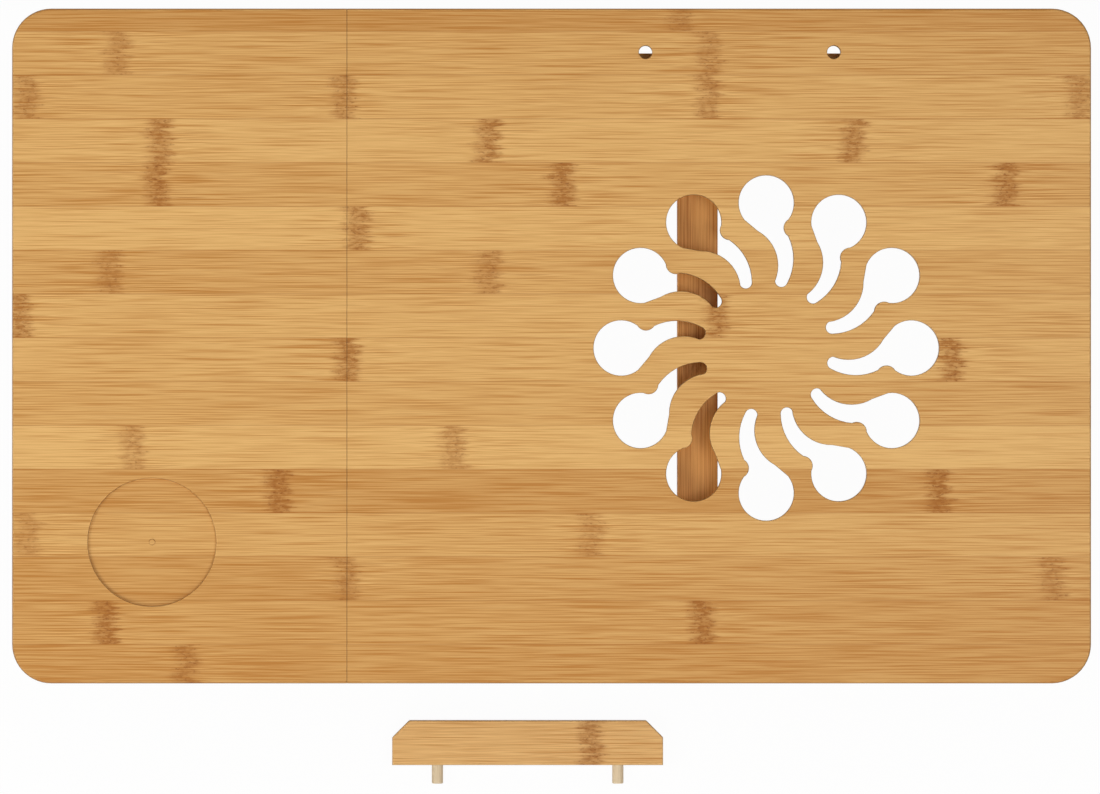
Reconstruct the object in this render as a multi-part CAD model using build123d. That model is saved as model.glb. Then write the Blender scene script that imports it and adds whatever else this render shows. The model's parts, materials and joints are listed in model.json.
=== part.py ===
from build123d import *
import math
import os

# Laptop table of strip bamboo with a tilting top, a drawer and folding legs.
# +Z is up, -Y is the user's side, sizes are in millimetres.

# Top
top_length = 550.0
top_depth = 344.0
top_thickness = 11.0
top_corner_radius = 20.0
top_edge_round = 1.2
seam_from_right = 170.7
seam_gap = 0.35
table_height = 270.0

# Vents in the tilting panel
vent_count = 12
vent_ring_radius = 74.0
vent_ring_from_left = 165.5
vent_ring_from_front = 173.0
vent_head_radius = 14.1
vent_head_shares = ((0.808, 0.590), (0.0, -1.0), (-0.793, 0.610))
vent_inner_shares = ((-0.319, 1.007), (0.362, 1.830), (0.319, 2.823))
vent_tip_shares = ((0.319, 2.823), (0.539, 3.043), (0.752, 2.908))
vent_outer_shares = ((0.752, 2.908), (0.979, 1.929), (0.794, 1.199))
vent_neck_shares = ((0.794, 1.199), (0.631, 0.887), (0.808, 0.590))

# Peg holes and the loose ledge
peg_spacing = 96.0
peg_radius = 3.0
peg_hole_clearance = 0.4
peg_holes_from_front = 22.2
peg_holes_mid_from_left = 179.1
peg_reach = 10.0
peg_depth = 10.0
ledge_length = 144.0
ledge_height = 23.7
ledge_thickness = 12.0
ledge_corner_cut = 9.0
ledge_edge_round = 0.8
ledge_gap = 26.0
ledge_from_mid = 12.7

# Cup recess in the fixed panel
cup_radius = 32.7
cup_depth = 2.0
cup_from_right = 71.3
cup_from_rear = 72.0
cup_nub_radius = 1.6
cup_nub_height = 0.6

# Frame under the top
rail_inset = 22.5
rail_thickness = 15.0
rail_depth = 30.0
seam_rail_width = 20.0
cross_bar_width = 20.6
cross_bar_from_left = 200.4
dowel_radius = 4.0
dowel_length = 12.0

# Panel hinges
hinge_length = 40.0
hinge_from_left = 85.0
hinge_from_seam = 44.3
knuckle_radius = 2.5
knuckle_gap = 0.3
leaf_thickness = 1.2
leaf_width = 16.0
hinge_pin_radius = 1.2

# Prop
prop_foot_from_rear = 18.8
prop_side_clearance = 6.0
prop_arm_thickness = 4.0
prop_rod_radius = 2.5
prop_pin_radius = 1.2
prop_rod_clearance = 0.3
prop_notch_angles = (10.0, 16.0, 21.0, 25.0, 28.5)
prop_notch_depth = 5.0
ear_thickness = 1.5
bracket_thickness = 1.2
bracket_width = 10.0
bracket_length = 14.0

# Drawer
drawer_front_thickness = 12.0
drawer_side_thickness = 10.0
drawer_back_thickness = 10.0
drawer_bottom_thickness = 4.0
drawer_bottom_lift = 2.0
drawer_side_gap = 1.0
drawer_top_gap = 2.0
drawer_bottom_gap = 1.0
drawer_back_gap = 2.0
runner_width = 5.5
runner_height = 8.0
runner_clearance = 0.3
drawer_knob_radius = 8.0
drawer_knob_neck_radius = 4.5
drawer_knob_neck_length = 5.0
drawer_knob_head_length = 8.0
drawer_knob_round = 2.0

# Leg frames
leg_from_rail_end = 12.5
leg_width = 18.0
leg_pivot_drop = 12.0
leg_side_gap = 0.3
stretcher_drop = 14.0
stretcher_depth = 18.0
stretcher_thickness = 14.0
pivot_bolt_radius = 3.0
pivot_head_radius = 5.5
pivot_head_height = 3.5
nut_thickness = 4.0
plate_thickness = 2.0
plate_nose_radius = 16.0
plate_up = 22.0
plate_screw_rise = 14.0
plate_screw_spacing = 16.0
stop_gap = 0.2
stop_reach = 10.0
stop_top_drop = 1.0
stop_height = 9.0

# Foot frames and height clamps
slide_thickness = 12.0
slide_gap = 0.3
slide_top_gap = 2.0
slide_overlap = 28.7
tongue_width = 10.4
tongue_depth = 5.2
groove_end_gap = 1.0
foot_bar_width = 20.0
foot_bar_depth = 22.0
foot_bar_round = 3.0
foot_seat_gap = 0.3
pad_length = 36.0
pad_width = 14.0
pad_thickness = 2.0
pad_corner_radius = 4.0
pad_from_end = 24.0
clamp_bolt_radius = 3.0
clamp_from_top = 10.0
clamp_slot_clearance = 0.3
clamp_head_radius = 6.5
clamp_head_height = 2.0
washer_radius = 7.5
washer_thickness = 1.2
washer_gap = 0.1
knob_radius = 13.0
knob_length = 13.0
knob_bore_depth = 10.0
knob_lobes = 6
knob_scallop_radius = 5.0
knob_round = 1.2

# Screws and common clearances
screw_radius = 1.5
screw_head_radius = 2.8
screw_head_height = 1.3
screw_depth = 8.0
long_screw_radius = 2.0
long_screw_head_radius = 3.8
long_screw_head_height = 2.4
long_screw_length = 34.0
panel_screw_bite = 7.0
panel_screw_hold = 14.0
panel_screw_from_seam = 45.0
panel_screw_spacing = 55.0
running_fit = 0.05
screw_fit = 0.1
cut_overrun = 1.0

# Levels
top_z = table_height
under_z = top_z - top_thickness
rail_z = under_z - rail_depth
pivot_z = rail_z - leg_pivot_drop
hinge_drop = knuckle_radius + knuckle_gap
hinge_z = under_z - hinge_drop
foot_top_z = pad_thickness + foot_bar_depth
slide_room = stretcher_drop + stretcher_depth + slide_top_gap + foot_seat_gap + slide_overlap
height_travel = (pivot_z - foot_top_z - slide_room) / 2
slide_top_z = pivot_z - stretcher_drop - stretcher_depth - slide_top_gap - height_travel
clamp_z = slide_top_z - clamp_from_top
upright_end_z = foot_top_z + height_travel + foot_seat_gap

# Places along X
right_x = top_length / 2
left_x = -right_x
seam_x = right_x - seam_from_right
frame_right_x = right_x - rail_inset
frame_left_x = left_x + rail_inset
ring_x = left_x + vent_ring_from_left
bar_x = left_x + cross_bar_from_left
leg_x = frame_right_x - leg_from_rail_end
drawer_back_x = seam_x + seam_rail_width / 2 + drawer_back_gap
drawer_front_x = frame_right_x - drawer_front_thickness

# Places along Y: the loose ledge lies behind the table
whole_depth = top_depth + ledge_gap + ledge_height + peg_reach
front_y = -whole_depth / 2
rear_y = front_y + top_depth
mid_y = (front_y + rear_y) / 2
ring_y = front_y + vent_ring_from_front
rail_out = top_depth / 2 - rail_inset
rail_in = rail_out - rail_thickness
hinge_y = mid_y - rail_out - hinge_drop
prop_foot_y = mid_y + rail_in - prop_foot_from_rear
prop_length = (prop_foot_y - hinge_y) / 2
prop_pivot_y = hinge_y + prop_length
upright_out = rail_out - leg_side_gap
upright_in = rail_in + leg_side_gap
slide_out = upright_in - slide_gap
slide_in = slide_out - slide_thickness

nodes = {}


def slab(xs, ys, zs):
    """Box between pairs of limits, given in either order."""
    x_low, x_high = sorted(xs)
    y_low, y_high = sorted(ys)
    z_low, z_high = sorted(zs)
    middle = Pos((x_low + x_high) / 2, (y_low + y_high) / 2, (z_low + z_high) / 2)
    return middle * Box(x_high - x_low, y_high - y_low, z_high - z_low)


def rod(point, direction, radius, length):
    """Round bar that starts at a point and runs along a direction."""
    place = Plane(origin=point, z_dir=direction).location
    return place * Cylinder(radius, length, align=(Align.CENTER, Align.CENTER, Align.MIN))


def bored(radius):
    """Radius of the running hole for a pin or bolt."""
    return radius + running_fit


def hex_prism(point, direction, radius, length):
    """Six-sided nut or bolt head that starts at a point."""
    place = Plane(origin=point, z_dir=direction).location
    return place * extrude(RegularPolygon(radius, 6), amount=length)


def moved(point, direction, distance):
    """Point at a distance from another along a unit direction."""
    return tuple(start + distance * part for start, part in zip(point, direction))


def reverse(direction):
    """Opposite of a direction."""
    return tuple(-part for part in direction)


def wood_screw(seat, direction, depth):
    """Small screw with its socket head standing on a seat and its shank going the given way."""
    back = reverse(direction)
    screw = rod(seat, direction, screw_radius, depth)
    screw += rod(seat, back, screw_head_radius, screw_head_height)
    socket_floor = moved(seat, back, screw_head_height / 2)
    return screw - hex_prism(socket_floor, back, screw_radius, screw_head_height)


def wood_screw_hole(seat, direction, depth):
    """Hole for the shank of a small screw."""
    return rod(seat, direction, screw_radius + screw_fit, depth + screw_fit)


def group(solids):
    """Like pieces of one node, kept as separate solids."""
    return Compound(children=list(solids))


def rail_row_y(row, distance):
    """Y at a distance from the table's middle, to the front (-1) or the rear (1)."""
    return mid_y + row * distance


def outward(row):
    """Direction away from the table's middle along Y."""
    return (0, row, 0)


def inward(row):
    """Direction towards the table's middle along Y."""
    return (0, -row, 0)


ROWS = (-1, 1)
SIDES = {"left": -1, "right": 1}
hinge_xs = (left_x + hinge_from_left, seam_x - hinge_from_seam)
leaf_screw_shifts = (-hinge_length / 4, hinge_length / 4)
prop_arm_out = vent_ring_radius + vent_head_radius + prop_side_clearance + prop_arm_thickness
bracket_rear_y = prop_pivot_y - prop_rod_radius - knuckle_gap


def panel_blank(x_outer, x_seam):
    """Board with two rounded corners on its outer side and a square seam side."""
    board = slab((x_outer, x_seam), (front_y, rear_y), (under_z, top_z))
    upright_edges = board.edges().filter_by(Axis.Z)
    corners = [edge for edge in upright_edges if abs(edge.center().X - x_outer) < top_corner_radius]
    board = fillet(corners, top_corner_radius)
    rim = board.faces().sort_by(Axis.Z)[-1].edges()
    rim = [edge for edge in rim if abs(edge.center().X - x_seam) > seam_gap]
    return fillet(rim, top_edge_round)


def vent_cutter():
    """Comma-shaped vent at the front of the ring: a round head with a curved tail."""

    def place(share):
        return (-share[0] * vent_head_radius, share[1] * vent_head_radius - vent_ring_radius)

    stretches = (vent_head_shares, vent_inner_shares, vent_tip_shares, vent_outer_shares, vent_neck_shares)
    edges = [ThreePointArc(*[place(share) for share in shares]) for shares in stretches]
    edges.append(Line(place(vent_head_shares[-1]), place(vent_inner_shares[0])))
    outline = Pos(ring_x, ring_y, under_z - cut_overrun) * Face(Wire(edges))
    return extrude(outline, amount=top_thickness + 2 * cut_overrun, dir=(0, 0, 1))


def peg_hole_xs():
    """Places of the two ledge pegs along X when the ledge is fitted."""
    middle = left_x + peg_holes_mid_from_left
    return [middle - peg_spacing / 2, middle + peg_spacing / 2]


def panel_leaf_screw_seats():
    """Seats of the screws that hold the hinge leaves under the tilting panel."""
    screw_y = hinge_y - hinge_drop - leaf_width / 2
    screw_z = under_z - leaf_thickness
    return [(x + shift, screw_y, screw_z) for x in hinge_xs for shift in leaf_screw_shifts]


def frame_leaf_screw_seats():
    """Seats of the screws that hold the hinge leaves on the front rail."""
    screw_y = rail_row_y(-1, rail_out + leaf_thickness)
    screw_z = hinge_z - hinge_drop - leaf_width / 2
    return [(x + shift, screw_y, screw_z) for x in hinge_xs for shift in leaf_screw_shifts]


def bracket_screw_seats():
    """Seats of the screws that hold the prop brackets under the tilting panel."""
    out = prop_arm_out + knuckle_gap + ear_thickness - bracket_width / 2
    screw_y = bracket_rear_y - bracket_length / 2
    return [(ring_x + side * out, screw_y, under_z - bracket_thickness) for side in ROWS]


def make_top():
    """Fixed panel with its cup recess, and tilting panel with its vents and peg holes."""
    fixed = panel_blank(right_x, seam_x + seam_gap / 2)
    cup_place = (right_x - cup_from_right, rear_y - cup_from_rear, top_z - cup_depth)
    fixed -= rod(cup_place, (0, 0, 1), cup_radius, cup_depth + cut_overrun)
    fixed += rod(cup_place, (0, 0, 1), cup_nub_radius, cup_nub_height)
    screw_reach = panel_screw_hold + panel_screw_bite + screw_fit
    for seat in panel_screw_seats():
        fixed -= rod(seat, (0, 0, 1), long_screw_radius + screw_fit, screw_reach)
    nodes["fixed_panel"] = fixed

    tilting = panel_blank(left_x, seam_x - seam_gap / 2)
    vent = vent_cutter()
    for index in range(vent_count):
        turn = Pos(ring_x, ring_y, 0) * Rot(0, 0, index * 360 / vent_count) * Pos(-ring_x, -ring_y, 0)
        tilting -= turn * vent
    for x in peg_hole_xs():
        foot = (x, front_y + peg_holes_from_front, under_z - cut_overrun)
        tilting -= rod(foot, (0, 0, 1), peg_radius + peg_hole_clearance, top_thickness + 2 * cut_overrun)
    for seat in panel_leaf_screw_seats() + bracket_screw_seats():
        tilting -= wood_screw_hole(seat, (0, 0, 1), screw_depth)
    nodes["tilting_panel"] = tilting


def panel_screw_seats():
    """Seats of the long screws inside the rails that hold the fixed panel down."""
    first = seam_x + panel_screw_from_seam
    xs = (first, first + panel_screw_spacing)
    middle = (rail_out + rail_in) / 2
    return [(x, rail_row_y(row, middle), under_z - panel_screw_hold) for x in xs for row in ROWS]


def cross_screw_seats(row):
    """Seats of the long screws through a rail into the seam rail and the cross bar."""
    screw_z = (rail_z + under_z) / 2 - long_screw_head_radius
    return [(x, rail_row_y(row, rail_out), screw_z) for x in (seam_x, bar_x)]


def long_screw(seat, direction, length):
    """Long screw with a flat head sunk into the wood at its seat."""
    shank = rod(seat, direction, long_screw_radius, length)
    head = rod(seat, direction, long_screw_head_radius, long_screw_head_height)
    slot_width = long_screw_head_height / 3
    place = Plane(origin=seat, z_dir=direction).location
    slot = place * Box(2 * long_screw_head_radius, slot_width, slot_width)
    return shank + head - slot


def long_screw_hole(seat, direction, length):
    """Stepped hole for a long screw."""
    shank = rod(seat, direction, long_screw_radius + screw_fit, length + screw_fit)
    head = rod(seat, direction, long_screw_head_radius + screw_fit, long_screw_head_height)
    return shank + head


def corner_dowel_starts():
    """Outer ends of the dowels that join the left end rail to the long rails."""
    x = frame_left_x + rail_thickness / 2
    z = (rail_z + under_z) / 2
    return [(rail_row_y(row, rail_in + dowel_length / 2), row, x, z) for row in ROWS]


def plate_screw_seats(side, row):
    """Seats of the screws that hold one leg hinge plate on its rail."""
    y = rail_row_y(row, rail_out + plate_thickness)
    shifts = (-plate_screw_spacing / 2, plate_screw_spacing / 2)
    return [(side * leg_x + shift, y, rail_z + plate_screw_rise) for shift in shifts]


def make_frame():
    """Rails, cross bar, dowels and the long screws."""
    for name, row in (("front_rail", -1), ("rear_rail", 1)):
        ys = (rail_row_y(row, rail_out), rail_row_y(row, rail_in))
        rail = slab((frame_left_x, frame_right_x), ys, (rail_z, under_z))
        for seat in cross_screw_seats(row):
            rail -= long_screw_hole(seat, inward(row), long_screw_length)
        for seat in panel_screw_seats():
            rail -= rod(seat, (0, 0, 1), long_screw_radius + screw_fit, panel_screw_hold)
            rail -= rod(seat, (0, 0, -1), long_screw_head_radius + screw_fit, rail_depth)
        for side in SIDES.values():
            for seat in plate_screw_seats(side, row):
                rail -= wood_screw_hole(seat, inward(row), screw_depth + plate_thickness)
        if row < 0:
            for seat in frame_leaf_screw_seats():
                rail -= wood_screw_hole(seat, inward(row), screw_depth + leaf_thickness)
        for start_y, dowel_row, x, z in corner_dowel_starts():
            if dowel_row == row:
                rail -= rod((x, start_y, z), inward(row), bored(dowel_radius), dowel_length)
        nodes[name] = rail

    inner_ys = (rail_row_y(-1, rail_in), rail_row_y(1, rail_in))
    end_rail = slab((frame_left_x, frame_left_x + rail_thickness), inner_ys, (rail_z, under_z))
    dowels = []
    for start_y, row, x, z in corner_dowel_starts():
        end_rail -= rod((x, start_y, z), inward(row), bored(dowel_radius), dowel_length + running_fit)
        dowels.append(rod((x, start_y, z), inward(row), dowel_radius, dowel_length))
    nodes["left_end_rail"] = end_rail
    nodes["corner_dowels"] = group(dowels)

    seam_xs = (seam_x - seam_rail_width / 2, seam_x + seam_rail_width / 2)
    seam_rail = slab(seam_xs, inner_ys, (rail_z, under_z))
    bar_top_z = hinge_z - prop_rod_radius - prop_rod_clearance
    bar_xs = (bar_x - cross_bar_width / 2, bar_x + cross_bar_width / 2)
    cross_bar = slab(bar_xs, inner_ys, (rail_z, bar_top_z))
    notch_radius = prop_rod_radius + prop_rod_clearance
    for angle in prop_notch_angles:
        notch_y = hinge_y + 2 * prop_length * math.cos(math.radians(angle))
        notch_z = bar_top_z - prop_notch_depth + notch_radius
        start = (bar_x - cross_bar_width, notch_y, notch_z)
        cross_bar -= rod(start, (1, 0, 0), notch_radius, 2 * cross_bar_width)
        mouth_ys = (notch_y - notch_radius, notch_y + notch_radius)
        mouth_xs = (bar_x - cross_bar_width, bar_x + cross_bar_width)
        cross_bar -= slab(mouth_xs, mouth_ys, (notch_z, bar_top_z + cut_overrun))
    cross_screws = []
    for row in ROWS:
        for seat in cross_screw_seats(row):
            hole = long_screw_hole(seat, inward(row), long_screw_length)
            seam_rail -= hole
            cross_bar -= hole
            cross_screws.append(long_screw(seat, inward(row), long_screw_length))
    nodes["seam_rail"] = seam_rail
    nodes["notched_cross_bar"] = cross_bar
    nodes["frame_screws"] = group(cross_screws)

    panel_screws = []
    for seat in panel_screw_seats():
        shank = rod(seat, (0, 0, 1), long_screw_radius, panel_screw_hold + panel_screw_bite)
        head = rod(seat, (0, 0, -1), long_screw_head_radius, long_screw_head_height)
        panel_screws.append(shank + head)
    nodes["fixed_panel_screws"] = group(panel_screws)


def make_hinges():
    """Butt hinges between the front rail and the tilting panel, in three knuckles each."""
    frame_leaves = []
    panel_leaves = []
    pins = []
    segment = hinge_length / 3
    for x in hinge_xs:
        starts = [x - hinge_length / 2 + index * segment for index in range(3)]
        leaf_xs = (x - hinge_length / 2, x + hinge_length / 2)
        rail_face_y = rail_row_y(-1, rail_out)
        plate_ys = (rail_face_y - leaf_thickness, rail_face_y)
        frame_leaf = slab(leaf_xs, plate_ys, (hinge_z - hinge_drop, hinge_z - hinge_drop - leaf_width))
        front_ys = (hinge_y - hinge_drop, hinge_y - hinge_drop - leaf_width)
        panel_leaf = slab(leaf_xs, front_ys, (under_z - leaf_thickness, under_z))
        for index, start in enumerate(starts):
            low = start + knuckle_gap / 2
            high = start + segment - knuckle_gap / 2
            barrel = rod((low, hinge_y, hinge_z), (1, 0, 0), knuckle_radius, high - low)
            if index == 1:
                tab_ys = (hinge_y, hinge_y - hinge_drop)
                tab = slab((low, high), tab_ys, (under_z - leaf_thickness, under_z))
                panel_leaf += barrel + tab
            else:
                tab = slab((low, high), plate_ys, (hinge_z, hinge_z - hinge_drop))
                frame_leaf += barrel + tab
        pin_start = (leaf_xs[0], hinge_y, hinge_z)
        pin_hole = rod(pin_start, (1, 0, 0), bored(hinge_pin_radius), hinge_length)
        frame_leaf -= pin_hole
        panel_leaf -= pin_hole
        pins.append(rod(pin_start, (1, 0, 0), hinge_pin_radius, hinge_length))
        for seat in frame_leaf_screw_seats():
            frame_leaf -= wood_screw_hole(seat, (0, 1, 0), screw_depth)
        for seat in panel_leaf_screw_seats():
            panel_leaf -= wood_screw_hole(seat, (0, 0, 1), screw_depth)
        frame_leaves.append(frame_leaf)
        panel_leaves.append(panel_leaf)
    nodes["hinge_frame_leaves"] = group(frame_leaves)
    nodes["hinge_panel_leaves"] = group(panel_leaves)
    nodes["hinge_pins"] = group(pins)
    frame_depth = screw_depth + leaf_thickness
    nodes["hinge_frame_screws"] = group(
        wood_screw(seat, (0, 1, 0), frame_depth) for seat in frame_leaf_screw_seats()
    )
    nodes["hinge_panel_screws"] = group(
        wood_screw(seat, (0, 0, 1), screw_depth) for seat in panel_leaf_screw_seats()
    )


def make_prop():
    """Prop that swings under the tilting panel: two arms, a foot rod, pins and brackets."""
    arms = []
    pins = []
    brackets = []
    arm_zs = (hinge_z - prop_rod_radius, hinge_z + prop_rod_radius)
    for side in ROWS:
        inner_x = ring_x + side * (prop_arm_out - prop_arm_thickness)
        outer_x = ring_x + side * prop_arm_out
        ear_xs = (outer_x + side * knuckle_gap, outer_x + side * (knuckle_gap + ear_thickness))
        arm = slab((inner_x, outer_x), (prop_pivot_y, prop_foot_y), arm_zs)
        for end_y in (prop_pivot_y, prop_foot_y):
            arm += rod((inner_x, end_y, hinge_z), (side, 0, 0), prop_rod_radius, prop_arm_thickness)
        pin_length = abs(ear_xs[1] - inner_x)
        pin_start = (inner_x, prop_pivot_y, hinge_z)
        pin_hole = rod(pin_start, (side, 0, 0), bored(prop_pin_radius), pin_length)
        arms.append(arm - pin_hole)
        pins.append(rod(pin_start, (side, 0, 0), prop_pin_radius, pin_length))
        base_ys = (bracket_rear_y - bracket_length, bracket_rear_y)
        base_xs = (ear_xs[1] - side * bracket_width, ear_xs[1])
        ear_ys = (base_ys[0], prop_pivot_y + prop_rod_radius)
        ear = slab(ear_xs, ear_ys, (hinge_z - prop_rod_radius, under_z))
        bracket = ear + slab(base_xs, base_ys, (under_z - bracket_thickness, under_z)) - pin_hole
        for seat in bracket_screw_seats():
            bracket -= wood_screw_hole(seat, (0, 0, 1), screw_depth)
        brackets.append(bracket)
    nodes["prop_arms"] = group(arms)
    nodes["prop_pins"] = group(pins)
    nodes["prop_brackets"] = group(brackets)
    nodes["prop_bracket_screws"] = group(
        wood_screw(seat, (0, 0, 1), screw_depth) for seat in bracket_screw_seats()
    )
    rod_half = prop_arm_out - prop_arm_thickness
    rod_start = (ring_x - rod_half, prop_foot_y, hinge_z)
    nodes["prop_foot_rod"] = rod(rod_start, (1, 0, 0), prop_rod_radius, 2 * rod_half)


def make_drawer():
    """Drawer box under the fixed panel, its runners on the rails and its knob."""
    top = under_z - drawer_top_gap
    bottom = rail_z + drawer_bottom_gap
    side_out = rail_in - drawer_side_gap
    side_in = side_out - drawer_side_thickness
    groove_middle = (top + bottom) / 2
    groove_zs = (groove_middle - runner_height / 2, groove_middle + runner_height / 2)
    runner_zs = (groove_zs[0] + runner_clearance, groove_zs[1] - runner_clearance)
    runners = []
    for name, row in (("drawer_side_front", -1), ("drawer_side_rear", 1)):
        side_ys = (rail_row_y(row, side_out), rail_row_y(row, side_in))
        board = slab((drawer_back_x, drawer_front_x), side_ys, (bottom, top))
        groove_ys = (rail_row_y(row, rail_in), rail_row_y(row, rail_in - runner_width - runner_clearance))
        groove_xs = (drawer_back_x - cut_overrun, drawer_front_x)
        nodes[name] = board - slab(groove_xs, groove_ys, groove_zs)
        runner_ys = (rail_row_y(row, rail_in), rail_row_y(row, rail_in - runner_width))
        runner_xs = (seam_x + seam_rail_width / 2, drawer_front_x - runner_clearance)
        runners.append(slab(runner_xs, runner_ys, runner_zs))
    nodes["drawer_runners"] = group(runners)

    inner_ys = (rail_row_y(-1, side_in), rail_row_y(1, side_in))
    back_xs = (drawer_back_x, drawer_back_x + drawer_back_thickness)
    nodes["drawer_back"] = slab(back_xs, inner_ys, (bottom, top))
    floor_low = bottom + drawer_bottom_lift
    floor_xs = (drawer_back_x + drawer_back_thickness, drawer_front_x)
    nodes["drawer_bottom"] = slab(floor_xs, inner_ys, (floor_low, floor_low + drawer_bottom_thickness))

    front_ys = (rail_row_y(-1, side_out), rail_row_y(1, side_out))
    front = slab((drawer_front_x, frame_right_x), front_ys, (bottom, top))
    middle = (frame_right_x, mid_y, groove_middle)
    screw_seat = (drawer_front_x, mid_y, groove_middle)
    screw_reach = drawer_front_thickness + drawer_knob_neck_length
    screw_hole = wood_screw_hole(screw_seat, (1, 0, 0), screw_reach)
    nodes["drawer_front"] = front - screw_hole
    neck = rod(middle, (1, 0, 0), drawer_knob_neck_radius, drawer_knob_neck_length)
    head_start = (frame_right_x + drawer_knob_neck_length, mid_y, groove_middle)
    head = rod(head_start, (1, 0, 0), drawer_knob_radius, drawer_knob_head_length)
    head = fillet(head.edges().filter_by(GeomType.CIRCLE), drawer_knob_round)
    nodes["drawer_knob"] = neck + head - screw_hole
    nodes["drawer_knob_screw"] = wood_screw(screw_seat, (1, 0, 0), screw_reach)


def make_leg_hinges():
    """Hinge plates with a stop, pivot bolts, nuts and plate screws for all four leg tops."""
    plates = []
    bolts = []
    nuts = []
    screws = []
    for side in SIDES.values():
        for row in ROWS:
            x = side * leg_x
            face_y = rail_row_y(row, rail_out)
            plate_ys = (face_y, rail_row_y(row, rail_out + plate_thickness))
            plate_xs = (x - plate_nose_radius, x + plate_nose_radius)
            plate = slab(plate_xs, plate_ys, (pivot_z, rail_z + plate_up))
            plate += rod((x, face_y, pivot_z), outward(row), plate_nose_radius, plate_thickness)
            stop_near = x + side * (leg_width / 2 + stop_gap)
            stop_xs = (stop_near, stop_near + side * plate_thickness)
            stop_ys = (rail_row_y(row, rail_out + plate_thickness), rail_row_y(row, rail_out - stop_reach))
            stop_top = pivot_z - stop_top_drop
            plate += slab(stop_xs, stop_ys, (stop_top, stop_top - stop_height))
            outer = (x, rail_row_y(row, rail_out + plate_thickness), pivot_z)
            hole = rod(outer, inward(row), bored(pivot_bolt_radius), plate_thickness)
            plate -= hole
            for seat in plate_screw_seats(side, row):
                plate -= wood_screw_hole(seat, inward(row), plate_thickness)
                screws.append(wood_screw(seat, inward(row), screw_depth + plate_thickness))
            plates.append(plate)
            nut_start = (x, rail_row_y(row, upright_in - leg_side_gap), pivot_z)
            nut = hex_prism(nut_start, inward(row), pivot_head_radius, nut_thickness)
            nut -= rod(nut_start, inward(row), bored(pivot_bolt_radius), nut_thickness)
            nuts.append(nut)
            bolt_length = rail_out + plate_thickness - upright_in + leg_side_gap + nut_thickness
            shank = rod(outer, inward(row), pivot_bolt_radius, bolt_length)
            bolts.append(shank + hex_prism(outer, outward(row), pivot_head_radius, pivot_head_height))
    nodes["leg_hinge_plates"] = group(plates)
    nodes["leg_pivot_bolts"] = group(bolts)
    nodes["leg_pivot_nuts"] = group(nuts)
    nodes["leg_plate_screws"] = group(screws)


def star_knob(point, row):
    """Hand knob with scalloped sides and a blind bore for its bolt."""
    outline = Circle(knob_radius)
    for index in range(knob_lobes):
        turn = Rot(0, 0, index * 360 / knob_lobes)
        outline -= turn * Pos(knob_radius + knob_scallop_radius / 2, 0) * Circle(knob_scallop_radius)
    body = extrude(outline, amount=knob_length)
    rim = body.faces().sort_by(Axis.Z)[-1].edges()
    body = fillet(rim, knob_round)
    body -= rod((0, 0, 0), (0, 0, 1), bored(clamp_bolt_radius), knob_bore_depth)
    return Plane(origin=point, z_dir=outward(row)).location * body


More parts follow.
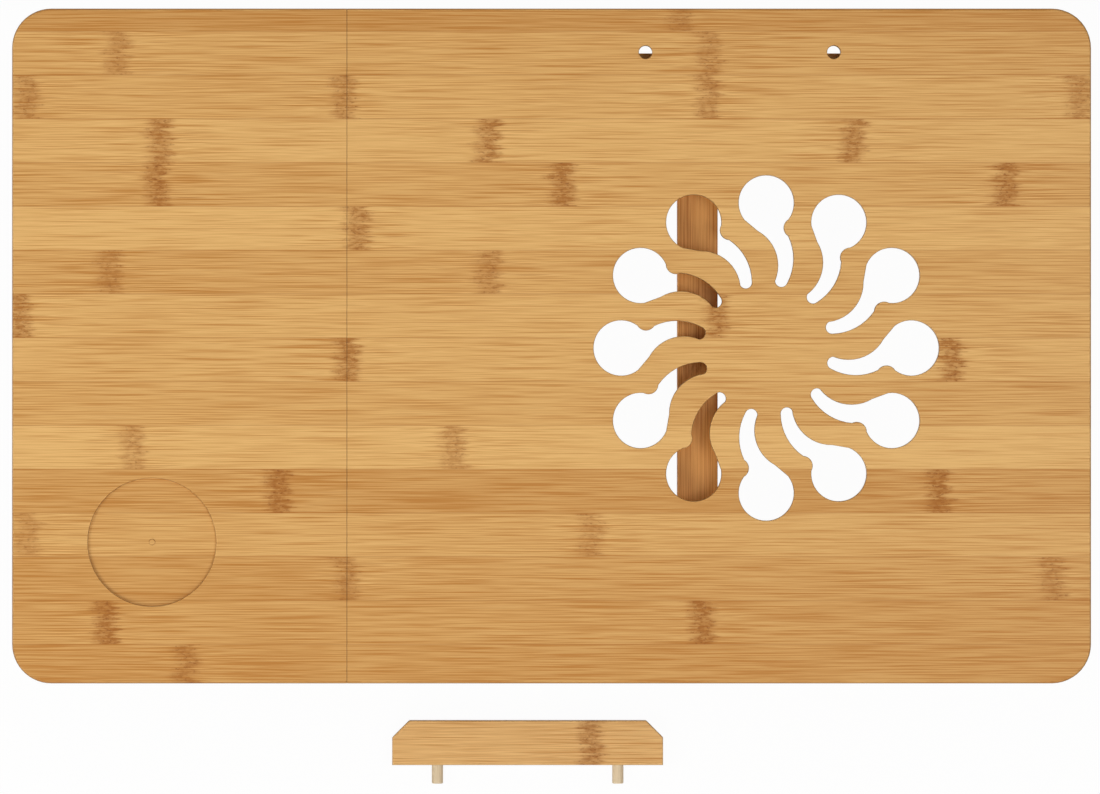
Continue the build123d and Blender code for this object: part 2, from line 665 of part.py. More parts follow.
def make_leg(name, side):
    """One folding leg frame with the foot frame that slides in it."""
    x = side * leg_x
    xs = (x - leg_width / 2, x + leg_width / 2)
    groove_half = tongue_width / 2 + slide_gap
    groove_xs = (x - groove_half, x + groove_half)
    tongue_xs = (x - tongue_width / 2, x + tongue_width / 2)
    groove_top = slide_top_z + height_travel + groove_end_gap
    slot_radius = clamp_bolt_radius + clamp_slot_clearance
    slot_xs = (x - slot_radius, x + slot_radius)
    uprights = []
    slides = []
    bolts = []
    washers = []
    for row in ROWS:
        outer_y = rail_row_y(row, upright_out)
        inner_y = rail_row_y(row, upright_in)
        thickness = upright_out - upright_in
        upright = slab(xs, (outer_y, inner_y), (upright_end_z, pivot_z))
        upright += rod((x, outer_y, pivot_z), inward(row), leg_width / 2, thickness)
        upright -= rod((x, outer_y, pivot_z), inward(row), bored(pivot_bolt_radius), thickness)
        groove_floor_y = rail_row_y(row, upright_in + tongue_depth + slide_gap)
        groove_zs = (upright_end_z - cut_overrun, groove_top)
        upright -= slab(groove_xs, (inner_y, groove_floor_y), groove_zs)
        upright -= slab(slot_xs, (outer_y, inner_y), (clamp_z, clamp_z + height_travel))
        for slot_z in (clamp_z, clamp_z + height_travel):
            upright -= rod((x, outer_y, slot_z), inward(row), slot_radius, thickness)
        uprights.append(upright)

        slide_ys = (rail_row_y(row, slide_out), rail_row_y(row, slide_in))
        slide = slab(xs, slide_ys, (foot_top_z, slide_top_z))
        tongue_ys = (rail_row_y(row, slide_out), rail_row_y(row, slide_out + tongue_depth))
        slide += slab(tongue_xs, tongue_ys, (foot_top_z, slide_top_z))
        head_seat = (x, rail_row_y(row, slide_in), clamp_z)
        slide -= rod(head_seat, outward(row), bored(clamp_bolt_radius), slide_thickness + tongue_depth)
        slides.append(slide)

        washer_start = upright_out + washer_gap
        knob_start = washer_start + washer_thickness + washer_gap
        bolt_length = knob_start + knob_bore_depth - washer_gap - slide_in
        bolt = rod(head_seat, outward(row), clamp_bolt_radius, bolt_length)
        bolts.append(bolt + rod(head_seat, inward(row), clamp_head_radius, clamp_head_height))
        washer_place = (x, rail_row_y(row, washer_start), clamp_z)
        washer = rod(washer_place, outward(row), washer_radius, washer_thickness)
        washers.append(washer - rod(washer_place, outward(row), bored(clamp_bolt_radius), washer_thickness))
        end = "front" if row < 0 else "rear"
        nodes[name + "_" + end + "_knob"] = star_knob((x, rail_row_y(row, knob_start), clamp_z), row)
    nodes[name + "_leg_uprights"] = group(uprights)
    nodes[name + "_foot_slides"] = group(slides)
    nodes[name + "_clamp_bolts"] = group(bolts)
    nodes[name + "_clamp_washers"] = group(washers)

    stretcher_top = pivot_z - stretcher_drop
    stretcher_xs = (x - stretcher_thickness / 2, x + stretcher_thickness / 2)
    stretcher_ys = (rail_row_y(-1, upright_in), rail_row_y(1, upright_in))
    stretcher_zs = (stretcher_top, stretcher_top - stretcher_depth)
    nodes[name + "_leg_stretcher"] = slab(stretcher_xs, stretcher_ys, stretcher_zs)

    bar_xs = (x - foot_bar_width / 2, x + foot_bar_width / 2)
    bar_ys = (rail_row_y(-1, upright_out), rail_row_y(1, upright_out))
    bar = slab(bar_xs, bar_ys, (pad_thickness, foot_top_z))
    long_edges = bar.edges().filter_by(Axis.Y).group_by(Axis.Z)[-1]
    nodes[name + "_foot_bar"] = fillet(long_edges, foot_bar_round)
    pads = []
    for row in ROWS:
        pad_y = rail_row_y(row, upright_out - pad_from_end - pad_length / 2)
        outline = RectangleRounded(pad_width, pad_length, pad_corner_radius)
        pads.append(Pos(x, pad_y, 0) * extrude(outline, amount=pad_thickness))
    nodes[name + "_foot_pads"] = group(pads)


def make_ledge():
    """Loose ledge bar lying behind the table, with its two pegs pointing away from it."""
    near_y = rear_y + ledge_gap
    far_y = near_y + ledge_height
    half = ledge_length / 2
    points = (
        (ledge_from_mid - half, far_y),
        (ledge_from_mid + half, far_y),
        (ledge_from_mid + half, near_y + ledge_corner_cut),
        (ledge_from_mid + half - ledge_corner_cut, near_y),
        (ledge_from_mid - half + ledge_corner_cut, near_y),
        (ledge_from_mid - half, near_y + ledge_corner_cut),
    )
    bar = extrude(make_face(Polyline(*points, close=True)), amount=ledge_thickness, dir=(0, 0, 1))
    bar = fillet(bar.faces().sort_by(Axis.Z)[-1].edges(), ledge_edge_round)
    pegs = []
    for shift in (-peg_spacing / 2, peg_spacing / 2):
        start = (ledge_from_mid + shift, far_y - peg_depth, ledge_thickness / 2)
        bar -= rod(start, (0, 1, 0), bored(peg_radius), peg_depth)
        pegs.append(rod(start, (0, 1, 0), peg_radius, peg_depth + peg_reach))
    nodes["ledge_bar"] = bar
    nodes["ledge_pegs"] = group(pegs)


make_top()
make_frame()
make_hinges()
make_prop()
make_drawer()
make_leg_hinges()
for leg_name, leg_side in SIDES.items():
    make_leg(leg_name, leg_side)
make_ledge()

os.makedirs("parts", exist_ok=True)
for node_name, shape in nodes.items():
    export_step(shape, os.path.join("parts", node_name + ".step"))
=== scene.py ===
"""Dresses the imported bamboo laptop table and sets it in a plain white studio."""

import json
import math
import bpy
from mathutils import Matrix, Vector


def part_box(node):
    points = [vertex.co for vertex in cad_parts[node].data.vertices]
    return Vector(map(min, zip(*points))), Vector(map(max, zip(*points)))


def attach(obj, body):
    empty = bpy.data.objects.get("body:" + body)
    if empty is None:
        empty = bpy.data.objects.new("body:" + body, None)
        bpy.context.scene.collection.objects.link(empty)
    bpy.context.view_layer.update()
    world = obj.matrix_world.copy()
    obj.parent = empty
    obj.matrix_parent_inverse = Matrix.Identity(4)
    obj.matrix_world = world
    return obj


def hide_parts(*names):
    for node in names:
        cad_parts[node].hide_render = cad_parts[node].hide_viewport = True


bl_info = {
    "name": "Bamboo Laptop Table",
    "version": (1, 0, 0),
    "blender": (4, 5, 0),
    "location": "View3D > Sidebar > Laptop Table",
    "description": "Dresses the packed laptop table and sets its studio",
    "category": "Object",
}

import bmesh
import bpy
from mathutils import Vector

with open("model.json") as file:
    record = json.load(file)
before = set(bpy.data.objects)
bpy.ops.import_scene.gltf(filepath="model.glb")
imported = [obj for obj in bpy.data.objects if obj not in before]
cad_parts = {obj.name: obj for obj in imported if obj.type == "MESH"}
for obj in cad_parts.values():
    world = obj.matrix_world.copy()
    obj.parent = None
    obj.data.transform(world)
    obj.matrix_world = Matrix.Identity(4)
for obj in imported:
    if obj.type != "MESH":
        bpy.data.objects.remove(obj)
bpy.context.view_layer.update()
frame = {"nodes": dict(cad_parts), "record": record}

PHOTO_WIDTH = 1100
WELD_DISTANCE = 2e-6
FLAT_ANGLE = math.radians(0.4)
BEVEL_ANGLE = math.radians(35)
LONG_EDGE = 0.005
FLAT_WEIGHT = 100
SORT_DIGITS = 4

BODY_OF = {node: body for body, nodes in frame["record"]["behaviour"]["bodies"].items() for node in nodes}
LEGS = ("left", "right")
ENDS = ("front", "rear")

panel_low, panel_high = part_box("tilting_panel")
side_low, side_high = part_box("fixed_panel")
TOP_Z = panel_high.z
UNDER_Z = panel_low.z
TOP_LENGTH = side_high.x - panel_low.x
TOP_MID = Vector(((side_high.x + panel_low.x) / 2, (panel_low.y + panel_high.y) / 2, TOP_Z))

# Knuckles of the top's strips, one row a strip from the user's side to the rear, each as a share of the
# top's length from its middle.
KNUCKLE_SHARES = (
    (-0.123,),
    (0.400, -0.148),
    (0.484, 0.190, -0.147, -0.490),
    (0.360, 0.057, -0.283),
    (0.363, -0.013, -0.423),
    (0.177,),
    (0.407, 0.056),
    (0.491, -0.156),
    (0.187, -0.373),
    (),
    (0.386, 0.088),
    (0.250, -0.361),
    (0.483, -0.039),
    (0.187, -0.467),
    (0.410, -0.142),
    (0.335,),
)
KNUCKLES_A_STRIP = 4
# A row is filled up with knuckles at ABSENT_SHARE, which is off the table. The rows are kept in a colour
# ramp, which holds values from 0 to 1, so a share is moved by SHARE_SHIFT and divided by SHARE_SPAN there.
ABSENT_SHARE = 1.5
SHARE_SHIFT = 1.0
SHARE_SPAN = 3.0

# Strips and plies of the boards, with lengths in metres. A cut is what is sawn off the first strip or ply, a
# step moves the strips, plies or tones of one board from another's, and a tint multiplies a board's colours.
TOP_SEED = 293.4
TOP_PLIES = 2.4
TOP_PLY_CUT_SHARE = 0.3
LEDGE_SEED = 12.0
LEDGE_STRIP = 0.05
LEDGE_STRIP_CUT = 0.01
LEDGE_KNUCKLE_SHARE = 0.255
# The ledge's colours are lifted as painted light, brightening the ledge where the table shades it on the
# floor.
LEDGE_PAINTED_LIGHT = (1.10, 1.15, 1.30)
BAR_SEED = 9.0
BAR_STRIP_CUT = 0.005
BAR_PLY_CUT = 0.004
BAR_TINT = (1.06, 0.90, 0.74)
BOARD_INTERNODE = 0.205
BOARD_STRIP = 0.0165
BOARD_STRIP_STEP = 0.0031
BOARD_PLY = 0.0052
BOARD_PLY_STEP = 0.0011
BOARD_SEED_STEP = 7.0
# A ply or strip this many times as wide as its board holds all of it.
WHOLE_PLY = 3
WHOLE_STRIP = 2
WHITE = (1.0, 1.0, 1.0, 1.0)


def srgb(red, green, blue):
    """Linear colour for an sRGB colour given in steps of 255."""
    shares = (red / 255, green / 255, blue / 255)
    return [share / 12.92 if share <= 0.04045 else ((share + 0.055) / 1.055) ** 2.4 for share in shares]


def colour_setting(name, description, default):
    """Setting for a colour."""
    return bpy.props.FloatVectorProperty(
        name=name, description=description, subtype="COLOR", size=3, min=0, max=1, default=default)


def length_setting(name, description, default):
    """Setting for a length in metres."""
    return bpy.props.FloatProperty(name=name, description=description, unit="LENGTH", default=default)


def power_setting(name, description, default):
    """Setting for a lamp's power in watts."""
    return bpy.props.FloatProperty(name=name, description=description, unit="POWER", default=default)


def share_setting(name, description, default):
    """Setting for a share from 0 to 1."""
    return bpy.props.FloatProperty(
        name=name, description=description, subtype="FACTOR", min=0, max=1, default=default)


class BambooLook(bpy.types.PropertyGroup):
    """Sizes and colours of the bamboo boards."""

    pale: colour_setting("Pale", "Lightest colour between the fibres", srgb(227, 180, 110))
    deep: colour_setting("Deep", "Darkest colour of the fibres", srgb(184, 123, 51))
    knuckle: colour_setting("Knuckle", "Colour of the dark knuckles", srgb(152, 86, 4))
    dowel: colour_setting("Dowel", "Colour of the pale pegs", srgb(236, 216, 180))
    # The sawn colour is a painted shade, laid on the rounded edges and side walls of the top and the ledge.
    sawn: colour_setting("Sawn", "Colour that the sawn and rounded edges take on", srgb(72, 52, 34))
    strip_width: length_setting("Strip Width", "Width of one bamboo strip of the top", 0.02232)
    strip_cut: length_setting("Strip Cut", "Width sawn off the first strip at the user's side", 0.01075)
    edge_round: length_setting("Edge Round", "Rounding of the small boards' edges", 0.0010)
    rim_round: length_setting("Rim Round", "Rounding of the vents and holes of the top", 0.0005)
    seam_round: length_setting("Seam Round", "Rounding of the seam's edges", 0.0001)
    seam_close: length_setting("Seam Close", "Amount by which each panel is drawn towards the seam", 0.0001)
    # Strength of that painted shade on the edges.
    saw_mark: share_setting("Saw Mark", "Darkening of the top's sawn and rounded edges", 0.45)


class HardwareLook(bpy.types.PropertyGroup):
    """Sizes and colours of the metal, plastic and rubber pieces."""

    plate: colour_setting("Plate", "Colour of the nickel-plated hinges, plates and prop", (0.58, 0.57, 0.55))
    zinc: colour_setting("Zinc", "Colour of the zinc-plated screws and bolts", (0.55, 0.56, 0.58))
    knob: colour_setting("Knob", "Colour of the moulded clamp knobs", (0.022, 0.022, 0.024))
    rubber: colour_setting("Rubber", "Colour of the foot pads", (0.030, 0.030, 0.031))
    plate_round: length_setting("Plate Round", "Rounding of the stamped metal edges", 0.00025)
    bolt_round: length_setting("Bolt Round", "Rounding of the bolt heads and nuts", 0.00035)
    pad_round: length_setting("Pad Round", "Rounding of the foot pads", 0.0003)
    rib_height: length_setting("Rib Height", "Height of the ribs under a foot pad", 0.0006)
    pad_ribs: bpy.props.IntProperty(name="Pad Ribs", description="Ribs under each foot pad", default=9, min=1)
    knob_lobes: bpy.props.IntProperty(
        name="Knob Lobes", description="Lobes round a clamp knob", default=6, min=3)


class StudioLook(bpy.types.PropertyGroup):
    """Camera, lamps and floor of the studio."""

    camera_distance: length_setting("Camera Distance", "Height of the camera above the top", 6.0)
    pixels_per_metre: bpy.props.FloatProperty(
        name="Pixels Per Metre", description="Scale of the picture at the top's surface", default=1962.0)
    camera_shift: bpy.props.FloatVectorProperty(
        name="Camera Shift", description="Place of the camera from the top's middle", subtype="TRANSLATION",
        size=2, unit="LENGTH", default=(0.0008, 0.0260))
    key_power: power_setting("Key Power", "Power of the key lamp at the picture's left", 16.5)
    sheen_power: power_setting("Sheen Power", "Power of the high lamp at the picture's right", 20.0)
    fill_power: power_setting("Fill Power", "Power of the fill lamp on the user's side", 7.0)
    rear_power: power_setting("Rear Power", "Power of the fill lamp behind the table", 18.0)
    sky: bpy.props.FloatProperty(
        name="Sky", description="Strength of the even light from all round", default=0.28)
    floor_white: share_setting("Floor White", "Share of plain white in the floor as the camera sees it", 0.96)


def look(kind):
    """Property group of the scene: bamboo, hardware or studio."""
    return getattr(bpy.context.scene, "table_" + kind)


# Numbers of the sockets of Mix and Compare nodes, since several of them have the same name.
MIX_FACTOR = 0
MIX_VALUE_A = 2
MIX_VALUE_B = 3
MIX_COLOUR_A = 6
MIX_COLOUR_B = 7
MIX_COLOUR_RESULT = 2
COMPARE_A = 2
COMPARE_B = 3

# Rate and size of the wave that scatters whole numbers. Only the digits after its point are used.
SCATTER_RATE = 12.9898
SCATTER_SIZE = 437.585


class Wiring:
    """Adds nodes to a tree and joins their sockets."""

    def __init__(self, tree):
        self.tree = tree

    def add(self, kind, **settings):
        """New node with its settings."""
        node = self.tree.nodes.new(kind)
        for name, value in settings.items():
            setattr(node, name, value)
        return node

    def make(self, kind, values, **settings):
        """New node with its settings, and some of its inputs joined or set."""
        node = self.add(kind, **settings)
        for name, value in values.items():
            self.put(node.inputs[name], value)
        return node

    def put(self, socket, value):
        """Joins a socket to another, or sets its value."""
        if isinstance(value, bpy.types.NodeSocket):
            self.tree.links.new(value, socket)
        elif value is not None:
            socket.default_value = value

    def math(self, operation, *values):
        """Result of a math node."""
        node = self.add("ShaderNodeMath", operation=operation)
        for socket, value in zip(node.inputs, values):
            self.put(socket, value)
        return node.outputs[0]

    def ramp(self, value, low, high, start=0.0, end=1.0):
        """Value carried smoothly from one span to another."""
        values = {"Value": value, "From Min": low, "From Max": high, "To Min": start, "To Max": end}
        return self.make("ShaderNodeMapRange", values, interpolation_type="SMOOTHSTEP").outputs["Result"]

    def vector(self, x, y, z):
        """Vector from three values."""
        return self.make("ShaderNodeCombineXYZ", {"X": x, "Y": y, "Z": z}).outputs[0]

    def axes(self, vector):
        """Three values of a vector."""
        return self.make("ShaderNodeSeparateXYZ", {"Vector": vector}).outputs

    def noise(self, vector, detail=2.0, roughness=0.5):
        """Cloud noise at a vector, at unit scale."""
        values = {"Vector": vector, "Scale": 1.0, "Detail": detail, "Roughness": roughness}
        return self.make("ShaderNodeTexNoise", values, noise_dimensions="3D").outputs[0]

    def mix(self, share, first, second, blend="MIX"):
        """Colour between two colours."""
        values = {MIX_FACTOR: share, MIX_COLOUR_A: first, MIX_COLOUR_B: second}
        node = self.make("ShaderNodeMix", values, data_type="RGBA", blend_type=blend, clamp_factor=True)
        return node.outputs[MIX_COLOUR_RESULT]

    def mix_shader(self, share, first, second):
        """Shader between two shaders."""
        return self.make("ShaderNodeMixShader", {0: share, 1: first, 2: second}).outputs[0]

    def scatter(self, value, start):
        """Repeatable value from 0 to 1 for a whole number."""
        wave = self.math("SINE", self.math("MULTIPLY_ADD", value, SCATTER_RATE, start))
        return self.math("FRACT", self.math("MULTIPLY", wave, SCATTER_SIZE))


def new_group(name, inputs, outputs, kind="ShaderNodeTree"):
    """Empty node group with named sockets, its wiring, and its inner ends."""
    tree = bpy.data.node_groups.new(name, kind)
    for socket_name, socket_type, default in inputs:
        socket = tree.interface.new_socket(socket_name, in_out="INPUT", socket_type=socket_type)
        if default is not None:
            socket.default_value = default
    for socket_name, socket_type in outputs:
        tree.interface.new_socket(socket_name, in_out="OUTPUT", socket_type=socket_type)
    wires = Wiring(tree)
    return tree, wires, wires.add("NodeGroupInput").outputs, wires.add("NodeGroupOutput").inputs


FLOAT = "NodeSocketFloat"
COLOUR = "NodeSocketColor"
VECTOR = "NodeSocketVector"
COUNT = "NodeSocketInt"
GEOMETRY = "NodeSocketGeometry"

# Steps a metre of the noises in the materials. A pair is along the fibres and across them.
FINE_STEPS = (19.0, 1500.0)
FIBRE_STEPS = (14.0, 1000.0)
DRIFT_STEPS = (9.0, 45.0)
FRAY_STEPS = (40.0, 850.0)
MOTTLE_STEPS = (260.0, 640.0)
DOT_STEPS = (420.0, 900.0)
WOBBLE_STEPS = 170.0
CLOUD_STEPS = 70.0

# Lengths in metres over which a mark fades, and lengths by which a knuckle's edge wanders.
JOINT_FADE = (0.0001, 0.0005)
HALO_FADE = (0.004, 0.045)
KNUCKLE_FADE = (0.0020, 0.0110)
FRAY_LENGTH = 0.015
WOBBLE_LENGTH = 0.010
# A knuckle fades this many times as fast on one side as on the other.
KNUCKLE_SKEW = 1.6

# Steps that keep the scattered values of plies and internodes apart, the starts of the three kinds of
# scattered value, and the most in metres by which one of them shifts a strip's grain.
PLY_SEED_STEP = 31.7
INTERNODE_SEED_STEP = 5.3
TONE_START = 0.9
SHIFT_START = 4.1
INTERNODE_START = 2.2
SHIFT_LENGTH = 4.7

# Amounts by which strips, internodes and noises move the tone from its middle, and contrasts of the fibres.
TONE_MIDDLE = 0.55
STRIP_SWING = 0.66
INTERNODE_SWING = 0.16
DRIFT_SWING = 0.28
FINE_SWING = 3.6
FIBRE_SWING = 0.40
FIBRE_CONTRAST = 0.85
HALO_CONTRAST = 0.6

# Spans of noise over which a mark comes up.
STREAK_SPAN = (0.56, 0.68)
MOTTLE_SPAN = (0.36, 0.64)
DOT_SPAN = (0.55, 0.68)

# Strengths of the marks. A pair is a part that varies and a part that stays.
KNUCKLE_STRENGTH = (0.50, 0.48)
MOTTLE_STRENGTH = (0.50, 0.44)
STREAK_STRENGTH = (0.35, 0.42)
STREAK_DARK = 0.45
DOT_STRENGTH = 0.8
DOT_TINT = (0.70, 0.62, 0.55, 1.0)
JOINT_STRENGTH = 0.30

# Finish of the bamboo: its roughness and what fibres and knuckles change in it, the dips in its height, and
# the distance and strength of its bump.
BAMBOO_SPECULAR = 0.30
BAMBOO_ROUGHNESS = 0.44
FINE_ROUGHNESS = 0.22
KNUCKLE_ROUGHNESS = 0.10
KNUCKLE_DIP = -0.5
JOINT_DIP = -0.4
BAMBOO_BUMP = (0.00006, 0.35)
# Slopes of a face between which the painted shade on its rounded and sawn edges fades, where 1 is level.
PAINTED_SHADE_FADE = (0.55, 0.97)
# Finish of the other surfaces: the span of noise from their deep colour to their pale one, and their bump.
GRAIN_SPAN = (-0.45, 0.45)
GRAIN_BUMP_STRENGTH = 0.3


def strip_layout_group():
    """Group that numbers the strips and plies of a laminated board."""
    inputs = (
        ("Across", FLOAT, None), ("Depth", FLOAT, None), ("Strip Width", FLOAT, 0.02),
        ("Strip Start", FLOAT, 0.0), ("Ply", FLOAT, 0.004), ("Ply Start", FLOAT, 0.0), ("Seed", FLOAT, 0.0),
    )
    outputs = (("Strip", FLOAT), ("Tone", FLOAT), ("Shift", FLOAT), ("Joint", FLOAT))
    tree, wires, given, result = new_group("Strip layout", inputs, outputs)

    def counted(place, start, size):
        return wires.math("DIVIDE", wires.math("SUBTRACT", given[place], given[start]), given[size])

    def from_edge(count, size):
        return wires.math("MULTIPLY", wires.math("PINGPONG", count, 0.5), given[size])

    strips = counted("Across", "Strip Start", "Strip Width")
    plies = counted("Depth", "Ply Start", "Ply")
    strip = wires.math("FLOOR", strips)
    number = wires.math("MULTIPLY_ADD", wires.math("FLOOR", plies), PLY_SEED_STEP, strip)
    number = wires.math("ADD", number, given["Seed"])
    wires.put(result["Strip"], strip)
    wires.put(result["Tone"], wires.scatter(number, TONE_START))
    wires.put(result["Shift"], wires.scatter(number, SHIFT_START))
    nearest = wires.math("MINIMUM", from_edge(strips, "Strip Width"), from_edge(plies, "Ply"))
    wires.put(result["Joint"], wires.ramp(nearest, *JOINT_FADE, 1.0, 0.0))
    return tree


def bamboo_grain_group():
    """Group that draws fibres, internode tones and frayed knuckles along a strip."""
    inputs = (
        ("Along", FLOAT, None), ("Across", FLOAT, None), ("Depth", FLOAT, None), ("Strip", FLOAT, 0.0),
        ("Tone", FLOAT, 0.5), ("Shift", FLOAT, 0.0), ("Joint", FLOAT, 0.0), ("Knuckle Distance", FLOAT, 1.0),
        ("Internode", FLOAT, 0.0), ("Contrast", FLOAT, 1.0), ("Pale", COLOUR, None), ("Deep", COLOUR, None),
        ("Knuckle", COLOUR, None),
    )
    outputs = (("Color", COLOUR), ("Roughness", FLOAT), ("Height", FLOAT))
    tree, wires, given, result = new_group("Bamboo grain", inputs, outputs)
    shifted = wires.math("MULTIPLY_ADD", given["Shift"], SHIFT_LENGTH, given["Along"])

    def noise(steps, detail=2.0, roughness=0.5):
        along_steps, across_steps = steps
        place = wires.vector(wires.math("MULTIPLY", shifted, along_steps),
                             wires.math("MULTIPLY", given["Across"], across_steps),
                             wires.math("MULTIPLY", given["Depth"], across_steps))
        return wires.noise(place, detail, roughness)

    def swing(value, amount):
        return wires.math("MULTIPLY", wires.math("SUBTRACT", value, 0.5), amount)

    fine = noise(FINE_STEPS, roughness=0.6)
    halo = wires.ramp(wires.math("ABSOLUTE", given["Knuckle Distance"]), *HALO_FADE, 1.0, 0.0)

    edge = wires.vector(given["Strip"], wires.math("MULTIPLY", given["Across"], WOBBLE_STEPS), 0.0)
    fray = swing(noise(FRAY_STEPS, detail=1.0), FRAY_LENGTH)
    wobble = swing(wires.noise(edge), WOBBLE_LENGTH)
    ragged = wires.math("ADD", given["Knuckle Distance"], wires.math("ADD", fray, wobble))
    away = wires.math("MAXIMUM", ragged, wires.math("MULTIPLY", ragged, -KNUCKLE_SKEW))
    strength = wires.math("MULTIPLY_ADD", given["Shift"], *KNUCKLE_STRENGTH)
    core = wires.math("MULTIPLY", wires.ramp(away, *KNUCKLE_FADE, 1.0, 0.0), strength)
    mottle = wires.ramp(noise(MOTTLE_STEPS, detail=3.0, roughness=0.6), *MOTTLE_SPAN)
    dots = wires.ramp(noise(DOT_STEPS, roughness=0.6), *DOT_SPAN)

    number = wires.math("MULTIPLY_ADD", given["Internode"], INTERNODE_SEED_STEP, given["Strip"])
    internode_tone = wires.scatter(number, INTERNODE_START)
    tone = wires.math("ADD", swing(given["Tone"], STRIP_SWING), TONE_MIDDLE)
    for part in (swing(internode_tone, INTERNODE_SWING), swing(noise(DRIFT_STEPS), DRIFT_SWING)):
        tone = wires.math("ADD", tone, part)
    grain = wires.math("ADD", swing(fine, FINE_SWING), swing(noise(FIBRE_STEPS), FIBRE_SWING))
    contrast = wires.math("MULTIPLY_ADD", halo, HALO_CONTRAST, given["Contrast"])
    grain = wires.math("MULTIPLY", grain, contrast)
    colour = wires.mix(wires.math("ADD", tone, grain), given["Deep"], given["Pale"])
    streak_strength = wires.math("MULTIPLY_ADD", halo, *STREAK_STRENGTH)
    streak = wires.math("MULTIPLY", wires.ramp(fine, *STREAK_SPAN), streak_strength)
    colour = wires.mix(streak, colour, wires.mix(STREAK_DARK, given["Deep"], given["Knuckle"]))
    core_share = wires.math("MULTIPLY", core, wires.math("MULTIPLY_ADD", mottle, *MOTTLE_STRENGTH))
    colour = wires.mix(core_share, colour, given["Knuckle"])
    dark_knuckle = wires.mix(1.0, given["Knuckle"], DOT_TINT, "MULTIPLY")
    dot_share = wires.math("MULTIPLY", dots, wires.math("MULTIPLY", core, DOT_STRENGTH))
    colour = wires.mix(dot_share, colour, dark_knuckle)
    colour = wires.mix(wires.math("MULTIPLY", given["Joint"], JOINT_STRENGTH), colour, given["Knuckle"])
    wires.put(result["Color"], colour)
    rough = wires.math("ADD", swing(fine, FINE_ROUGHNESS), BAMBOO_ROUGHNESS)
    wires.put(result["Roughness"], wires.math("MULTIPLY_ADD", core, KNUCKLE_ROUGHNESS, rough))
    height = wires.math("MULTIPLY_ADD", core_share, KNUCKLE_DIP, fine)
    wires.put(result["Height"], wires.math("MULTIPLY_ADD", given["Joint"], JOINT_DIP, height))
    return tree


def regular_knuckle_group():
    """Group that sets knuckles at even spacing along a strip."""
    inputs = (("Along", FLOAT, None), ("Place", FLOAT, 0.0), ("Spacing", FLOAT, 0.2))
    outputs = (("Distance", FLOAT), ("Internode", FLOAT))
    tree, wires, given, result = new_group("Regular knuckles", inputs, outputs)
    steps = wires.math("DIVIDE", wires.math("SUBTRACT", given["Along"], given["Place"]), given["Spacing"])
    from_nearest = wires.math("SUBTRACT", steps, wires.math("ROUND", steps))
    wires.put(result["Distance"], wires.math("MULTIPLY", from_nearest, given["Spacing"]))
    wires.put(result["Internode"], wires.math("FLOOR", steps))
    return tree


def surface_grain_group():
    """Group that draws fine grain on plated, moulded and bare surfaces, stretched along one axis."""
    inputs = (
        ("Vector", VECTOR, None), ("Scale", FLOAT, 800.0), ("Roughness", FLOAT, 0.4),
        ("Spread", FLOAT, 0.1), ("Pale", COLOUR, None), ("Deep", COLOUR, None),
    )
    outputs = (("Color", COLOUR), ("Roughness", FLOAT), ("Height", FLOAT))
    tree, wires, given, result = new_group("Surface grain", inputs, outputs)

    def scaled(scale):
        values = {"Vector": given["Vector"], "Scale": scale}
        return wires.make("ShaderNodeVectorMath", values, operation="SCALE").outputs[0]

    grain = wires.noise(scaled(given["Scale"]), detail=3.0, roughness=0.6)
    cloud = wires.noise(scaled(CLOUD_STEPS))
    swing = wires.math("ADD", wires.math("SUBTRACT", grain, 0.5), wires.math("SUBTRACT", cloud, 0.5))
    wires.put(result["Color"], wires.mix(wires.ramp(swing, *GRAIN_SPAN), given["Deep"], given["Pale"]))
    wires.put(result["Roughness"], wires.math("MULTIPLY_ADD", swing, given["Spread"], given["Roughness"]))
    wires.put(result["Height"], grain)
    return tree


def sawn_edge_group():
    """Group that darkens faces that don't look straight up or down, as painted shade on rounded edges and
    side walls.
    """
    inputs = (
        ("Normal", VECTOR, None), ("Color", COLOUR, None), ("Sawn", COLOUR, None), ("Amount", FLOAT, 0.0),
    )
    tree, wires, given, result = new_group("Sawn edges", inputs, (("Color", COLOUR),))
    level = wires.math("ABSOLUTE", wires.axes(given["Normal"])["Z"])
    share = wires.ramp(level, *PAINTED_SHADE_FADE, given["Amount"], 0.0)
    wires.put(result["Color"], wires.mix(share, given["Color"], given["Sawn"]))
    return tree


def solid(colour):
    """Colour with full alpha."""
    return (*colour, 1.0)


def start_material(name):
    """New material with its wiring, its shader and its object coordinates."""
    material = bpy.data.materials.new(name)
    material.use_nodes = True
    wires = Wiring(material.node_tree)
    shader = next(node for node in material.node_tree.nodes if node.type == "BSDF_PRINCIPLED")
    place = wires.add("ShaderNodeTexCoord").outputs["Object"]
    return material, wires, shader.inputs, place


def use_group(wires, name, builder, **values):
    """Outputs of a shader group, built once, with its inputs joined or set by name."""
    tree = bpy.data.node_groups.get(name) or builder()
    values = {key.replace("_", " ").title(): value for key, value in values.items()}
    return wires.make("ShaderNodeGroup", values, node_tree=tree).outputs


def add_bump(wires, shader, height, distance, strength):
    """Bump from a height, on the shader's normal."""
    values = {"Height": height, "Distance": distance, "Strength": strength}
    wires.put(shader["Normal"], wires.make("ShaderNodeBump", values).outputs[0])


